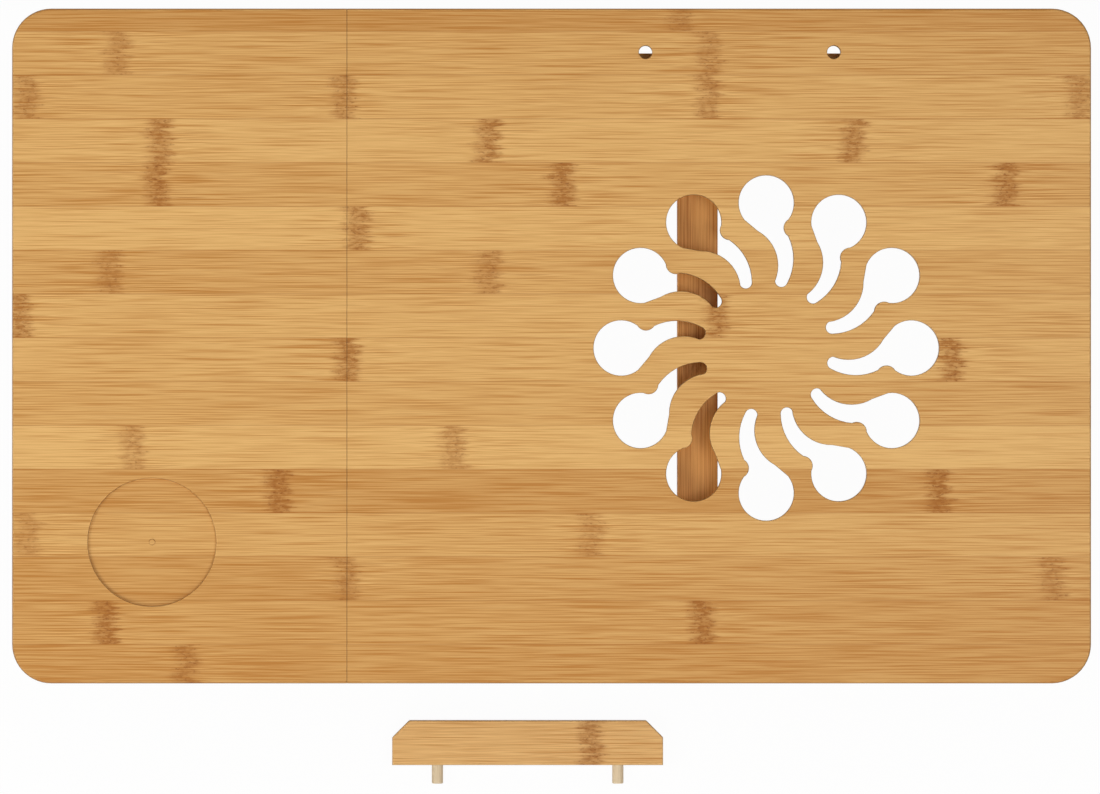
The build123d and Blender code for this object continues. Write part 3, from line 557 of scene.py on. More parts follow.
def listed_knuckles(wires, strip, along):
    """Distance from the nearest listed knuckle of the top, and the number of the stretch between knuckles."""
    table = wires.add("ShaderNodeValToRGB")
    table.color_ramp.interpolation = "CONSTANT"
    stops = table.color_ramp.elements
    count = len(KNUCKLE_SHARES)
    for index, shares in enumerate(KNUCKLE_SHARES):
        stop = stops[index] if index < len(stops) else stops.new(index / count)
        stop.position = index / count
        filled = [*shares] + [ABSENT_SHARE] * (KNUCKLES_A_STRIP - len(shares))
        stop.color = [(share + SHARE_SHIFT) / SHARE_SPAN for share in filled]
    wires.put(table.inputs[0], wires.math("DIVIDE", wires.math("ADD", strip, 0.5), count))
    entries = wires.make("ShaderNodeSeparateColor", {"Color": table.outputs["Color"]})
    nearest = ABSENT_SHARE
    internode = 0.0
    for entry in (*entries.outputs, table.outputs["Alpha"]):
        share = wires.math("MULTIPLY_ADD", entry, SHARE_SPAN, -SHARE_SHIFT)
        distance = wires.math("SUBTRACT", along, wires.math("MULTIPLY_ADD", share, TOP_LENGTH, TOP_MID.x))
        nearer = wires.math("LESS_THAN", wires.math("ABSOLUTE", distance), wires.math("ABSOLUTE", nearest))
        values = {MIX_FACTOR: nearer, MIX_VALUE_A: nearest, MIX_VALUE_B: distance}
        nearest = wires.make("ShaderNodeMix", values, data_type="FLOAT").outputs[0]
        internode = wires.math("ADD", internode, wires.math("GREATER_THAN", distance, 0.0))
    return nearest, internode


def bamboo(name, order, strip, ply, seed, knuckles=None, tint=(1.0, 1.0, 1.0)):
    """Bamboo whose grain, strips and plies go by the three axes of order.

    Strip and ply are a width and a start. Knuckles are listed, or a place and a spacing, or each strip's own.
    """
    known = bpy.data.materials.get(name)
    if known:
        return known
    settings = look("bamboo")
    material, wires, shader, place = start_material(name)
    axes = wires.axes(place)
    along, across, depth = (axes[axis.upper()] for axis in order)
    layout = use_group(wires, "Strip layout", strip_layout_group, across=across, depth=depth, seed=seed,
                       strip_width=strip[0], strip_start=strip[1], ply=ply[0], ply_start=ply[1])
    if knuckles == "listed":
        distance, internode = listed_knuckles(wires, layout["Strip"], along)
    else:
        own_place = wires.math("MULTIPLY", layout["Shift"], BOARD_INTERNODE)
        first, spacing = knuckles or (own_place, BOARD_INTERNODE)
        regular = use_group(wires, "Regular knuckles", regular_knuckle_group, along=along, place=first,
                            spacing=spacing)
        distance, internode = regular["Distance"], regular["Internode"]
    pale, deep = ([channel * share for channel, share in zip(colour, tint)]
                  for colour in (settings.pale, settings.deep))
    grain = use_group(wires, "Bamboo grain", bamboo_grain_group, along=along, across=across, depth=depth,
                      strip=layout["Strip"], tone=layout["Tone"], shift=layout["Shift"],
                      joint=layout["Joint"], knuckle_distance=distance, internode=internode,
                      contrast=FIBRE_CONTRAST, pale=solid(pale), deep=solid(deep),
                      knuckle=solid(settings.knuckle))
    colour = grain["Color"]
    # Painted shade on the rounded edges and side walls, darker the more a face tilts from level.
    if knuckles:
        normal = wires.add("ShaderNodeTexCoord").outputs["Normal"]
        sawn = use_group(wires, "Sawn edges", sawn_edge_group, normal=normal, color=colour,
                         sawn=solid(settings.sawn), amount=settings.saw_mark)
        colour = sawn["Color"]
    wires.put(shader["Base Color"], colour)
    wires.put(shader["Roughness"], grain["Roughness"])
    shader["Specular IOR Level"].default_value = BAMBOO_SPECULAR
    add_bump(wires, shader, grain["Height"], *BAMBOO_BUMP)
    return material


def top_bamboo():
    """Bamboo of the top, whose strips run across the seam."""
    settings = look("bamboo")
    strip = (settings.strip_width, panel_low.y - settings.strip_cut)
    ply = (TOP_Z - UNDER_Z) / TOP_PLIES
    return bamboo("Top bamboo", "xyz", strip, (ply, UNDER_Z - ply * TOP_PLY_CUT_SHARE), TOP_SEED, "listed")


def ledge_bamboo():
    """Bamboo of the ledge, one strip with a knuckle towards one end, its colours lightened as painted light.
    """
    low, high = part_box("ledge_bar")
    size = high - low
    knuckle = low.x + size.x * LEDGE_KNUCKLE_SHARE
    strip = (LEDGE_STRIP, low.y - LEDGE_STRIP_CUT)
    ply = (size.z * WHOLE_PLY, -high.z)
    return bamboo("Ledge bamboo", "xyz", strip, ply, LEDGE_SEED, (knuckle, TOP_LENGTH), LEDGE_PAINTED_LIGHT)


def bar_bamboo():
    """Darker bamboo of the notched bar, in one strip."""
    low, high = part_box("notched_cross_bar")
    size = high - low
    strip = (size.x * WHOLE_STRIP, low.x - BAR_STRIP_CUT)
    ply = (size.z * WHOLE_PLY, low.z - BAR_PLY_CUT)
    return bamboo("Bar bamboo", "yxz", strip, ply, BAR_SEED, None, BAR_TINT)


def board_bamboo(order, seed):
    """Bamboo of the smaller boards, in narrow strips."""
    strip = (BOARD_STRIP, BOARD_STRIP_STEP * seed)
    ply = (BOARD_PLY, BOARD_PLY_STEP * seed)
    return bamboo("Board bamboo " + order + str(seed), order, strip, ply, seed * BOARD_SEED_STEP)


def grained(name, colour, roughness, spread, scale, bump, darken, metallic=0.0, stretch=(1.0, 1.0, 1.0)):
    """Plated, moulded or bare material with fine grain along its stretch."""
    known = bpy.data.materials.get(name)
    if known:
        return known
    material, wires, shader, place = start_material(name)
    turned = wires.make("ShaderNodeMapping", {"Vector": place, "Scale": stretch}).outputs[0]
    deep = [channel * darken for channel in colour]
    grain = use_group(wires, "Surface grain", surface_grain_group, vector=turned, scale=scale,
                      roughness=roughness, spread=spread, pale=solid(colour), deep=solid(deep))
    wires.put(shader["Base Color"], grain["Color"])
    wires.put(shader["Roughness"], grain["Roughness"])
    shader["Metallic"].default_value = metallic
    add_bump(wires, shader, grain["Height"], bump, GRAIN_BUMP_STRENGTH)
    return material


def plate_steel():
    """Nickel-plated stamped steel, brushed along the table."""
    return grained("Nickel plate", look("hardware").plate, roughness=0.30, spread=0.16, scale=900.0,
                   bump=0.00002, darken=0.86, metallic=1.0, stretch=(0.08, 1.0, 1.0))


def zinc_steel():
    """Zinc-plated screws and bolts."""
    return grained("Zinc plate", look("hardware").zinc, roughness=0.36, spread=0.20, scale=1400.0,
                   bump=0.00002, darken=0.84, metallic=1.0)


def knob_plastic():
    """Moulded plastic with a fine matt grain."""
    return grained("Knob plastic", look("hardware").knob, roughness=0.50, spread=0.12, scale=2600.0,
                   bump=0.00005, darken=0.75)


def pad_rubber():
    """Matt rubber."""
    return grained("Pad rubber", look("hardware").rubber, roughness=0.82, spread=0.10, scale=1800.0,
                   bump=0.00006, darken=0.70)


def dowel_wood():
    """Bare pale wood with its grain along the pegs."""
    return grained("Pale dowel", look("bamboo").dowel, roughness=0.62, spread=0.12, scale=1500.0,
                   bump=0.00005, darken=0.80, stretch=(1.0, 0.03, 1.0))


def welded_copy(node):
    """Welded copy of a CAD mesh, without the lines inside its flat faces."""
    shape = bmesh.new()
    shape.from_mesh(frame["nodes"][node].data)
    bmesh.ops.remove_doubles(shape, verts=shape.verts[:], dist=WELD_DISTANCE)
    bmesh.ops.dissolve_degenerate(shape, edges=shape.edges[:], dist=WELD_DISTANCE)
    bmesh.ops.dissolve_limit(shape, angle_limit=FLAT_ANGLE, verts=shape.verts[:], edges=shape.edges[:])
    for face in shape.faces:
        face.smooth = True
    return shape


def mesh_from(shape, name):
    """Plain mesh from a bmesh, which is freed."""
    mesh = bpy.data.meshes.new(name)
    shape.to_mesh(mesh)
    shape.free()
    return mesh


def place_piece(mesh, name, nodes, material):
    """Finished piece at the origin that stands for CAD nodes of one body."""
    if not mesh.polygons:
        raise RuntimeError(name + " came out empty")
    bodies = {BODY_OF[node] for node in nodes}
    if len(bodies) != 1:
        raise RuntimeError(name + " would ride on more than one body")
    piece = bpy.data.objects.new(name, mesh)
    mesh.name = name
    mesh.materials.clear()
    mesh.materials.append(material)
    bpy.context.scene.collection.objects.link(piece)
    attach(piece, bodies.pop())
    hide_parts(*nodes)
    return piece


def plain_mesh(mesh, modify):
    """Mesh after the modifiers that modify adds to a helper object, which is removed."""
    helper = bpy.data.objects.new("helper", mesh)
    bpy.context.scene.collection.objects.link(helper)
    modify(helper)
    bpy.context.view_layer.update()
    result = bpy.data.meshes.new_from_object(helper.evaluated_get(bpy.context.evaluated_depsgraph_get()))
    bpy.data.objects.remove(helper)
    return result


def outer_edge(edge):
    """Whole rounding for an edge that stands out, and none for one in a hollow."""
    return 1.0 if edge.is_convex else 0.0


def long_edge(edge):
    """Whole rounding for a long edge, and none for the short ones round a hole."""
    return 1.0 if edge.calc_length() > LONG_EDGE else 0.0


def any_edge(edge):
    """Whole rounding for any edge."""
    return 1.0


def weigh_edges(shape, weight):
    """Gives each sharp edge the share of the rounding that weight says."""
    weights = shape.edges.layers.float.new("bevel_weight_edge")
    for edge in shape.edges:
        if len(edge.link_faces) == 2 and edge.calc_face_angle() > BEVEL_ANGLE:
            edge[weights] = weight(edge)


def rounded(mesh, width, segments=2):
    """Mesh with its weighted edges rounded, and its flat faces shaded flat."""

    def add_bevel(helper):
        bevel = helper.modifiers.new("Rounding", "BEVEL")
        bevel.limit_method = "WEIGHT"
        bevel.width = width
        bevel.segments = segments
        bevel.use_clamp_overlap = False
        bevel.loop_slide = False
        weighing = helper.modifiers.new("Flat faces", "WEIGHTED_NORMAL")
        weighing.mode = "FACE_AREA"
        weighing.weight = FLAT_WEIGHT

    return plain_mesh(mesh, add_bevel)


def dress(node, name, material, width, segments=2, weight=outer_edge):
    """CAD node's own shape with rounded edges and a finish."""
    shape = welded_copy(node)
    weigh_edges(shape, weight)
    mesh = rounded(mesh_from(shape, name), width, segments)
    return place_piece(mesh, name, [node], material)


def islands(node):
    """Corner lists of a CAD node's separate solids."""
    shape = welded_copy(node)
    left = set(shape.verts)
    found = []
    while left:
        todo = [left.pop()]
        island = []
        while todo:
            corner = todo.pop()
            island.append(corner.co.copy())
            for edge in corner.link_edges:
                other = edge.other_vert(corner)
                if other in left:
                    left.remove(other)
                    todo.append(other)
        found.append(island)
    shape.free()

    def middle(island):
        return tuple(round(sum(axis) / len(island), SORT_DIGITS) for axis in zip(*island))

    return sorted(found, key=middle)


def span(corners):
    """Lowest and highest corner round a list of corners."""
    columns = list(zip(*corners))
    return Vector(map(min, columns)), Vector(map(max, columns))


class TABLE_OT_top(bpy.types.Operator):
    """Dress the vented tilting panel and the fixed side panel"""

    bl_idname = "table.top"
    bl_label = "Top Panels"

    def execute(self, context):
        self.panel("tilting_panel", "vented_panel", panel_high.x, 1)
        self.panel("fixed_panel", "side_panel", side_low.x, -1)
        return {"FINISHED"}

    def panel(self, node, name, seam_x, way):
        """Panel with its seam face drawn a little towards the other panel, so that the seam is a hairline."""
        settings = look("bamboo")
        shape = welded_copy(node)
        for corner in shape.verts:
            if abs(corner.co.x - seam_x) < settings.seam_close:
                corner.co.x += way * settings.seam_close
        seam_x += way * settings.seam_close

        def rim_share(edge):
            on_seam = all(abs(corner.co.x - seam_x) < WELD_DISTANCE for corner in edge.verts)
            return settings.seam_round / settings.rim_round if on_seam else outer_edge(edge)

        weigh_edges(shape, rim_share)
        mesh = rounded(mesh_from(shape, name), settings.rim_round)
        place_piece(mesh, name, [node], top_bamboo())


class TABLE_OT_frame(bpy.types.Operator):
    """Dress the rails and bars under the top"""

    bl_idname = "table.frame"
    bl_label = "Frame Boards"

    def execute(self, context):
        width = look("bamboo").edge_round
        for seed, node in enumerate(("front_rail", "rear_rail"), 1):
            dress(node, node + "_board", board_bamboo("xzy", seed), width)
        for seed, node in enumerate(("left_end_rail", "seam_rail"), 3):
            dress(node, node + "_board", board_bamboo("yzx", seed), width)
        dress("notched_cross_bar", "notched_bar", bar_bamboo(), width / 3)
        frame["nodes"]["corner_dowels"].data.materials.clear()
        frame["nodes"]["corner_dowels"].data.materials.append(dowel_wood())
        return {"FINISHED"}


# Outlines of the knobs from their seats outwards, as shares of the length and of the radius. The star knob's
# rows also give the depth of the hollows between its lobes, as a share of the radius.
TURNED_SHARES = (
    (0.0, 0.56), (0.02, 0.60), (0.06, 0.60), (0.09, 0.56), (0.16, 0.49), (0.26, 0.46), (0.36, 0.52),
    (0.42, 0.68), (0.46, 0.86), (0.52, 0.96), (0.60, 1.0), (0.68, 1.0), (0.73, 0.97), (0.745, 0.93),
    (0.76, 0.955), (0.80, 0.95), (0.86, 0.88), (0.92, 0.70), (0.96, 0.45), (0.99, 0.20),
)
STAR_SHARES = (
    (0.0, 0.62, 0.0), (0.0, 0.66, 0.0), (0.04, 0.70, 0.0), (0.20, 0.70, 0.0), (0.23, 0.72, 0.02),
    (0.26, 0.90, 0.14), (0.30, 0.96, 0.17), (0.36, 0.99, 0.185), (0.44, 1.0, 0.19), (0.74, 0.985, 0.19),
    (0.84, 0.965, 0.185), (0.91, 0.93, 0.17), (0.96, 0.88, 0.15), (0.99, 0.82, 0.12), (1.0, 0.74, 0.08),
    (1.0, 0.60, 0.02), (0.985, 0.56, 0.0), (0.93, 0.53, 0.0), (0.92, 0.48, 0.0), (0.925, 0.25, 0.0),
)
TURNED_SIDES = 48
SIDES_A_LOBE = 16
LOBE_POWER = 1.6
STAR_CREASE = math.radians(50)


def turns(sides):
    """Angles of the corners round a ring."""
    return [2 * math.pi * index / sides for index in range(sides)]


def stack_rings(shape, rows, sides, corner):
    """Rings of corners, one for each row of shares, with faces between them and over the first ring.

    Corner gives a corner's place from its row and its turn. The last ring is given back.
    """
    rings = [[shape.verts.new(corner(row, turn)) for turn in turns(sides)] for row in rows]
    for lower, upper in zip(rings, rings[1:]):
        for index in range(sides):
            after = (index + 1) % sides
            shape.faces.new((lower[index], lower[after], upper[after], upper[index]))
    shape.faces.new(rings[0])
    return rings[-1]


def smooth_sides(shape, sides):
    """Turns the faces outwards, and makes all but the end caps smooth."""
    bmesh.ops.recalc_face_normals(shape, faces=shape.faces[:])
    for face in shape.faces:
        face.smooth = len(face.verts) < sides


class TABLE_OT_drawer(bpy.types.Operator):
    """Dress the drawer, its runners and its turned knob"""

    bl_idname = "table.drawer"
    bl_label = "Drawer"

    def execute(self, context):
        width = look("bamboo").edge_round
        dress("drawer_front", "drawer_front_board", board_bamboo("yzx", 6), width)
        dress("drawer_back", "drawer_back_board", board_bamboo("yzx", 7), width / 2)
        dress("drawer_bottom", "drawer_floor_board", board_bamboo("yxz", 8), width / 4)
        for end in ENDS:
            node = "drawer_side_" + end
            dress(node, node + "_board", board_bamboo("xzy", 9), width / 2)
        dress("drawer_runners", "drawer_runner_strips", board_bamboo("xzy", 1), width / 2)
        self.turned_knob()
        return {"FINISHED"}

    def turned_knob(self):
        """Turned knob with a beaded rim, a hollow neck and a domed face."""
        low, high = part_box("drawer_knob")
        middle = (low + high) / 2
        radius = (high.y - low.y) / 2

        def corner(row, turn):
            along, out = row
            return (low.x + along * (high.x - low.x), middle.y + out * radius * math.cos(turn),
                    middle.z + out * radius * math.sin(turn))

        shape = bmesh.new()
        last = stack_rings(shape, TURNED_SHARES, TURNED_SIDES, corner)
        tip = shape.verts.new((high.x, middle.y, middle.z))
        for index in range(TURNED_SIDES):
            shape.faces.new((last[index], last[(index + 1) % TURNED_SIDES], tip))
        smooth_sides(shape, TURNED_SIDES)
        mesh = mesh_from(shape, "turned_knob")
        place_piece(mesh, "drawer_turned_knob", ["drawer_knob"], board_bamboo("xzy", 2))


# Shares of a board's rounding for the grooved uprights and for the pegs.
UPRIGHT_ROUND_SHARE = 0.6
PEG_ROUND_SHARE = 0.7


class TABLE_OT_legs(bpy.types.Operator):
    """Dress the leg frames and the foot frames that slide in them"""

    bl_idname = "table.legs"
    bl_label = "Legs and Feet"

    def execute(self, context):
        width = look("bamboo").edge_round
        thin = width * UPRIGHT_ROUND_SHARE
        for seed, leg in enumerate(LEGS, 10):
            dress(leg + "_leg_uprights", leg + "_grooved_uprights", board_bamboo("zxy", seed), thin)
            dress(leg + "_leg_stretcher", leg + "_stretcher_board", board_bamboo("yzx", seed), width)
            dress(leg + "_foot_slides", leg + "_sliding_uprights", board_bamboo("zxy", seed + 2), thin)
            dress(leg + "_foot_bar", leg + "_foot_board", board_bamboo("yxz", seed), width)
        return {"FINISHED"}


class TABLE_OT_ledge(bpy.types.Operator):
    """Dress the loose ledge bar and its pale pegs"""

    bl_idname = "table.ledge"
    bl_label = "Loose Ledge"

    def execute(self, context):
        width = look("bamboo").edge_round
        dress("ledge_bar", "ledge_board", ledge_bamboo(), width / 2, weight=long_edge)
        dress("ledge_pegs", "ledge_dowels", dowel_wood(), width * PEG_ROUND_SHARE, segments=3)
        return {"FINISHED"}


class TABLE_OT_plates(bpy.types.Operator):
    """Dress the panel hinges, the prop and the leg hinge plates"""

    bl_idname = "table.plates"
    bl_label = "Hinges, Plates and Prop"

    def execute(self, context):
        width = look("hardware").plate_round
        dress("hinge_frame_leaves", "hinge_frame_leaves_plated", plate_steel(), width / 2)
        dress("leg_hinge_plates", "leg_hinge_plates_plated", plate_steel(), width, weight=any_edge)
        for node in ("hinge_panel_leaves", "prop_brackets", "prop_arms", "prop_foot_rod"):
            dress(node, node + "_plated", plate_steel(), width)
        return {"FINISHED"}


class TABLE_OT_bolts(bpy.types.Operator):
    """Dress the pivot bolts, nuts, clamp bolts, washers and hinge pins"""

    bl_idname = "table.bolts"
    bl_label = "Bolts and Pins"

    def execute(self, context):
        width = look("hardware").bolt_round
        nodes = ["leg_pivot_bolts", "leg_pivot_nuts", "hinge_pins", "prop_pins"]
        for leg in LEGS:
            nodes += [leg + "_clamp_bolts", leg + "_clamp_washers"]
        for node in nodes:
            dress(node, node + "_plated", zinc_steel(), width / 2 if node.endswith("washers") else width)
        return {"FINISHED"}


SCREW_SETS = {
    "frame_screw_set": ("frame_screws", "fixed_panel_screws", "hinge_frame_screws", "leg_plate_screws"),
    "panel_screw_set": ("hinge_panel_screws", "prop_bracket_screws"),
    "drawer_screw_set": ("drawer_knob_screw",),
}


def geometry_tree(name, inputs):
    """Empty geometry tree with named inputs, its wiring, and its inner ends."""
    inputs = (("Geometry", GEOMETRY, None), *inputs, ("Material", "NodeSocketMaterial", None))
    return new_group(name, inputs, (("Geometry", GEOMETRY),), "GeometryNodeTree")


def end_tree(wires, geometry, material, result):
    """Realised instances with their material, at the tree's end."""
    realised = wires.make("GeometryNodeRealizeInstances", {"Geometry": geometry}).outputs[0]
    finish = wires.make("GeometryNodeSetMaterial", {"Geometry": realised, "Material": material})
    wires.put(result[0], finish.outputs[0])


def screw_tree():
    """Cross-recessed screws on points that hold each screw's direction and sizes.

    A head is made one unit wide and high, and a shank one unit long, and the points' sizes scale them.
    """
    inputs = (
        ("Head Sides", COUNT, 28), ("Shank Sides", COUNT, 20), ("Head Taper", FLOAT, 0.74),
        ("Recess Length", FLOAT, 1.15), ("Recess Width", FLOAT, 0.26), ("Recess Depth", FLOAT, 0.55),
    )
    tree, wires, given, result = geometry_tree("Screw set", inputs)

    def moved(mesh, place):
        return wires.make("GeometryNodeTransform", {"Geometry": mesh, "Translation": place}).outputs[0]

    def stored(name):
        node = wires.make("GeometryNodeInputNamedAttribute", {"Name": name}, data_type="FLOAT_VECTOR")
        return node.outputs[0]

    cone = {"Vertices": given["Head Sides"], "Side Segments": 1, "Radius Top": given["Head Taper"],
            "Radius Bottom": 1.0, "Depth": 1.0}
    head = wires.make("GeometryNodeMeshCone", cone, fill_type="NGON").outputs["Mesh"]
    height = wires.math("MULTIPLY", given["Recess Depth"], 2.0)
    for sizes in (("Recess Length", "Recess Width"), ("Recess Width", "Recess Length")):
        size = wires.vector(given[sizes[0]], given[sizes[1]], height)
        bar = wires.make("GeometryNodeMeshCube", {"Size": size}).outputs["Mesh"]
        cutter = {"Mesh 1": head, "Mesh 2": moved(bar, (0.0, 0.0, 1.0))}
        cut = wires.make("GeometryNodeMeshBoolean", cutter, operation="DIFFERENCE", solver="EXACT")
        head = cut.outputs["Mesh"]
    rod = {"Vertices": given["Shank Sides"], "Radius": 1.0, "Depth": 1.0}
    shank = wires.make("GeometryNodeMeshCylinder", rod, fill_type="NGON").outputs["Mesh"]
    turn = wires.make("FunctionNodeAlignRotationToVector", {"Vector": stored("facing")}, axis="Z").outputs[0]
    both = wires.add("GeometryNodeJoinGeometry")
    for piece, size in ((head, "head_size"), (moved(shank, (0.0, 0.0, -0.5)), "shank_size")):
        values = {"Points": given["Geometry"], "Instance": piece, "Rotation": turn, "Scale": stored(size)}
        wires.put(both.inputs[0], wires.make("GeometryNodeInstanceOnPoints", values).outputs[0])
    end_tree(wires, both.outputs[0], given["Material"], result)
    return tree


def set_input(modifier, name, value):
    """Sets a geometry modifier's named input by the socket's identifier."""
    for item in modifier.node_group.interface.items_tree:
        if item.item_type == "SOCKET" and item.in_out == "INPUT" and item.name == name:
            modifier[item.identifier] = value
            return
    raise RuntimeError("no input named " + name)


def grown(points_mesh, tree, values):
    """Plain mesh that a geometry tree makes from a mesh."""

    def add_tree(helper):
        modifier = helper.modifiers.new("Growth", "NODES")
        modifier.node_group = tree
        for name, value in values.items():
            set_input(modifier, name, value)

    return plain_mesh(points_mesh, add_tree)


# Shares of a screw head's radius: its rim lies outside the first, and the shank inside the second.
RIM_SHARE = 0.9
SHANK_SHARE = 0.75


def screw_seat(corners):
    """Seat, direction out of the head, head sizes and shank sizes of one CAD screw."""
    low, high = span(corners)
    sizes = high - low
    axis = max(range(3), key=lambda index: sizes[index])
    others = [index for index in range(3) if index != axis]
    middle = (low + high) / 2
    head_radius = max(sizes[index] for index in others) / 2

    def reach(corner):
        return math.hypot(*(corner[index] - middle[index] for index in others))

    wide = [corner[axis] for corner in corners if reach(corner) > head_radius * RIM_SHARE]
    shank_radius = max(reach(corner) for corner in corners if reach(corner) < head_radius * SHANK_SHARE)
    head_low, head_high = min(wide), max(wide)
    at_low = head_low - low[axis] < high[axis] - head_high
    facing = Vector((0.0, 0.0, 0.0))
    facing[axis] = -1.0 if at_low else 1.0
    seat = middle.copy()
    seat[axis] = head_high if at_low else head_low
    length = (high[axis] - head_high) if at_low else (head_low - low[axis])
    head_size = (head_radius, head_radius, head_high - head_low)
    return seat, facing, head_size, (shank_radius, shank_radius, length)


class TABLE_OT_screws(bpy.types.Operator):
    """Set a cross-recessed screw in every screw hole"""

    bl_idname = "table.screws"
    bl_label = "Screws"

    def execute(self, context):
        tree = screw_tree()
        for name, nodes in SCREW_SETS.items():
            seats = [screw_seat(island) for node in nodes for island in islands(node)]
            points = bpy.data.meshes.new(name + "_points")
            points.from_pydata([seat for seat, _, _, _ in seats], [], [])
            for column, attribute in ((1, "facing"), (2, "head_size"), (3, "shank_size")):
                layer = points.attributes.new(attribute, "FLOAT_VECTOR", "POINT")
                layer.data.foreach_set("vector", [part for seat in seats for part in seat[column]])
            mesh = grown(points, tree, {"Material": zinc_steel()})
            place_piece(mesh, name, list(nodes), zinc_steel())
        return {"FINISHED"}


class TABLE_OT_knobs(bpy.types.Operator):
    """Set a moulded star knob on every clamp bolt"""

    bl_idname = "table.knobs"
    bl_label = "Clamp Knobs"

    def execute(self, context):
        for leg in LEGS:
            for end in ENDS:
                self.star_knob(leg + "_" + end + "_knob", -1 if end == "front" else 1)
        return {"FINISHED"}

    def star_knob(self, node, way):
        """Knob with rounded lobes, a stepped collar and a dished face."""
        low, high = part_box(node)
        middle = (low + high) / 2
        radius = max(high.x - low.x, high.z - low.z) / 2
        length = high.y - low.y
        start = low.y if way > 0 else high.y
        lobes = look("hardware").knob_lobes
        sides = lobes * SIDES_A_LOBE

        def corner(row, turn):
            along, out, hollow = row
            wave = (1 + math.cos(lobes * turn)) / 2
            reach = radius * (out - hollow * wave ** LOBE_POWER)
            return (middle.x + reach * math.cos(turn), start + way * along * length,
                    middle.z + reach * math.sin(turn))

        shape = bmesh.new()
        shape.faces.new(stack_rings(shape, STAR_SHARES, sides, corner))
        smooth_sides(shape, sides)
        mesh = mesh_from(shape, node + "_star")
        mesh.set_sharp_from_angle(angle=STAR_CREASE)
        place_piece(mesh, node + "_star", [node], knob_plastic())


def rib_tree():
    """Foot pads with a row of ribs under each, on the loose points that come with the pads."""
    inputs = (
        ("Ribs", COUNT, 9), ("Rib Sides", COUNT, 12), ("Rib Length", FLOAT, 0.01),
        ("Rib Width", FLOAT, 0.0016), ("Rib Height", FLOAT, 0.0006), ("Row Length", FLOAT, 0.03),
    )
    tree, wires, given, result = geometry_tree("Pad ribs", inputs)
    half = wires.math("MULTIPLY", given["Row Length"], 0.5)
    start = wires.vector(0.0, wires.math("MULTIPLY", half, -1.0), 0.0)
    ends = {"Count": given["Ribs"], "Start Location": start, "Offset": wires.vector(0.0, half, 0.0)}
    row = wires.make("GeometryNodeMeshLine", ends, mode="END_POINTS").outputs[0]
    rod = {"Vertices": given["Rib Sides"], "Radius": 0.5, "Depth": 1.0}
    rib = wires.make("GeometryNodeMeshCylinder", rod, fill_type="NGON").outputs["Mesh"]
    laying = {"Geometry": rib, "Rotation": (0.0, math.pi / 2, 0.0)}
    laid = wires.make("GeometryNodeTransform", laying).outputs[0]
    height = wires.math("MULTIPLY", given["Rib Height"], 2.0)
    size = wires.vector(given["Rib Length"], given["Rib Width"], height)
    spread = {"Points": row, "Instance": laid, "Scale": size}
    ribs = wires.make("GeometryNodeInstanceOnPoints", spread).outputs[0]
    neighbours = wires.add("GeometryNodeInputMeshVertexNeighbors").outputs["Vertex Count"]
    alone = {COMPARE_A: neighbours, COMPARE_B: 0}
    loose = wires.make("FunctionNodeCompare", alone, data_type="INT", operation="EQUAL").outputs[0]
    rows = {"Points": given["Geometry"], "Selection": loose, "Instance": ribs}
    pads = {"Geometry": given["Geometry"], "Selection": loose}
    both = wires.add("GeometryNodeJoinGeometry")
    wires.put(both.inputs[0], wires.make("GeometryNodeInstanceOnPoints", rows).outputs[0])
    wires.put(both.inputs[0], wires.make("GeometryNodeDeleteGeometry", pads, domain="POINT").outputs[0])
    end_tree(wires, both.outputs[0], given["Material"], result)
    return tree


# Rib sizes as shares: length of the pad's width, row of the pad's length, and width of the room for one rib.
RIB_LENGTH_SHARE = 0.8
RIB_ROW_SHARE = 0.82
RIB_WIDTH_SHARE = 0.5


class TABLE_OT_pads(bpy.types.Operator):
    """Set ribbed rubber pads under the foot bars"""

    bl_idname = "table.pads"
    bl_label = "Foot Pads"

    def execute(self, context):
        sizes = look("hardware")
        tree = rib_tree()
        for leg in LEGS:
            node = leg + "_foot_pads"
            shape = welded_copy(node)
            low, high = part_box(node)
            floor = low.z + sizes.rib_height
            centres = []
            for island in islands(node):
                pad_low, pad_high = span(island)
                centres.append(((pad_low.x + pad_high.x) / 2, (pad_low.y + pad_high.y) / 2, floor))
            length = pad_high.y - pad_low.y
            for corner in shape.verts:
                if corner.co.z < (low.z + high.z) / 2:
                    corner.co.z = floor
            weigh_edges(shape, outer_edge)
            mesh = rounded(mesh_from(shape, node), sizes.pad_round)
            shape = bmesh.new()
            shape.from_mesh(mesh)
            for centre in centres:
                shape.verts.new(centre)
            values = {
                "Ribs": sizes.pad_ribs, "Rib Length": (high.x - low.x) * RIB_LENGTH_SHARE,
                "Row Length": length * RIB_ROW_SHARE,
                "Rib Width": length / sizes.pad_ribs * RIB_WIDTH_SHARE, "Rib Height": sizes.rib_height,
                "Material": pad_rubber(),
            }
            mesh = grown(mesh_from(shape, node), tree, values)
            place_piece(mesh, leg + "_ribbed_pads", [node], pad_rubber())
        return {"FINISHED"}


def light_share(wires):
    """1 for rays from the camera, mirrors and glass, and 0 for light."""
    path = wires.add("ShaderNodeLightPath").outputs
    seen = wires.math("MAXIMUM", path["Is Camera Ray"], path["Is Glossy Ray"])
    return wires.math("MAXIMUM", seen, path["Is Transmission Ray"])


# Each lamp's offset from the top's middle and its size, both in metres, and the setting for its power.
LAMPS = {
    "Left key": ((1.6, 0.4, 1.7), 1.0, "key_power"),
    "Right key": ((-1.1, 0.3, 2.6), 1.0, "sheen_power"),
    "Front fill": ((0.3, -1.6, 1.8), 1.4, "fill_power"),
    "Rear fill": ((0.3, 1.9, 1.6), 1.4, "rear_power"),
}
FLOOR_HALF = 4.0
FLOOR_LEVEL = -0.0002
FLOOR_GREY = (0.85, 0.85, 0.85, 1.0)
SENSOR_WIDTH = 36.0


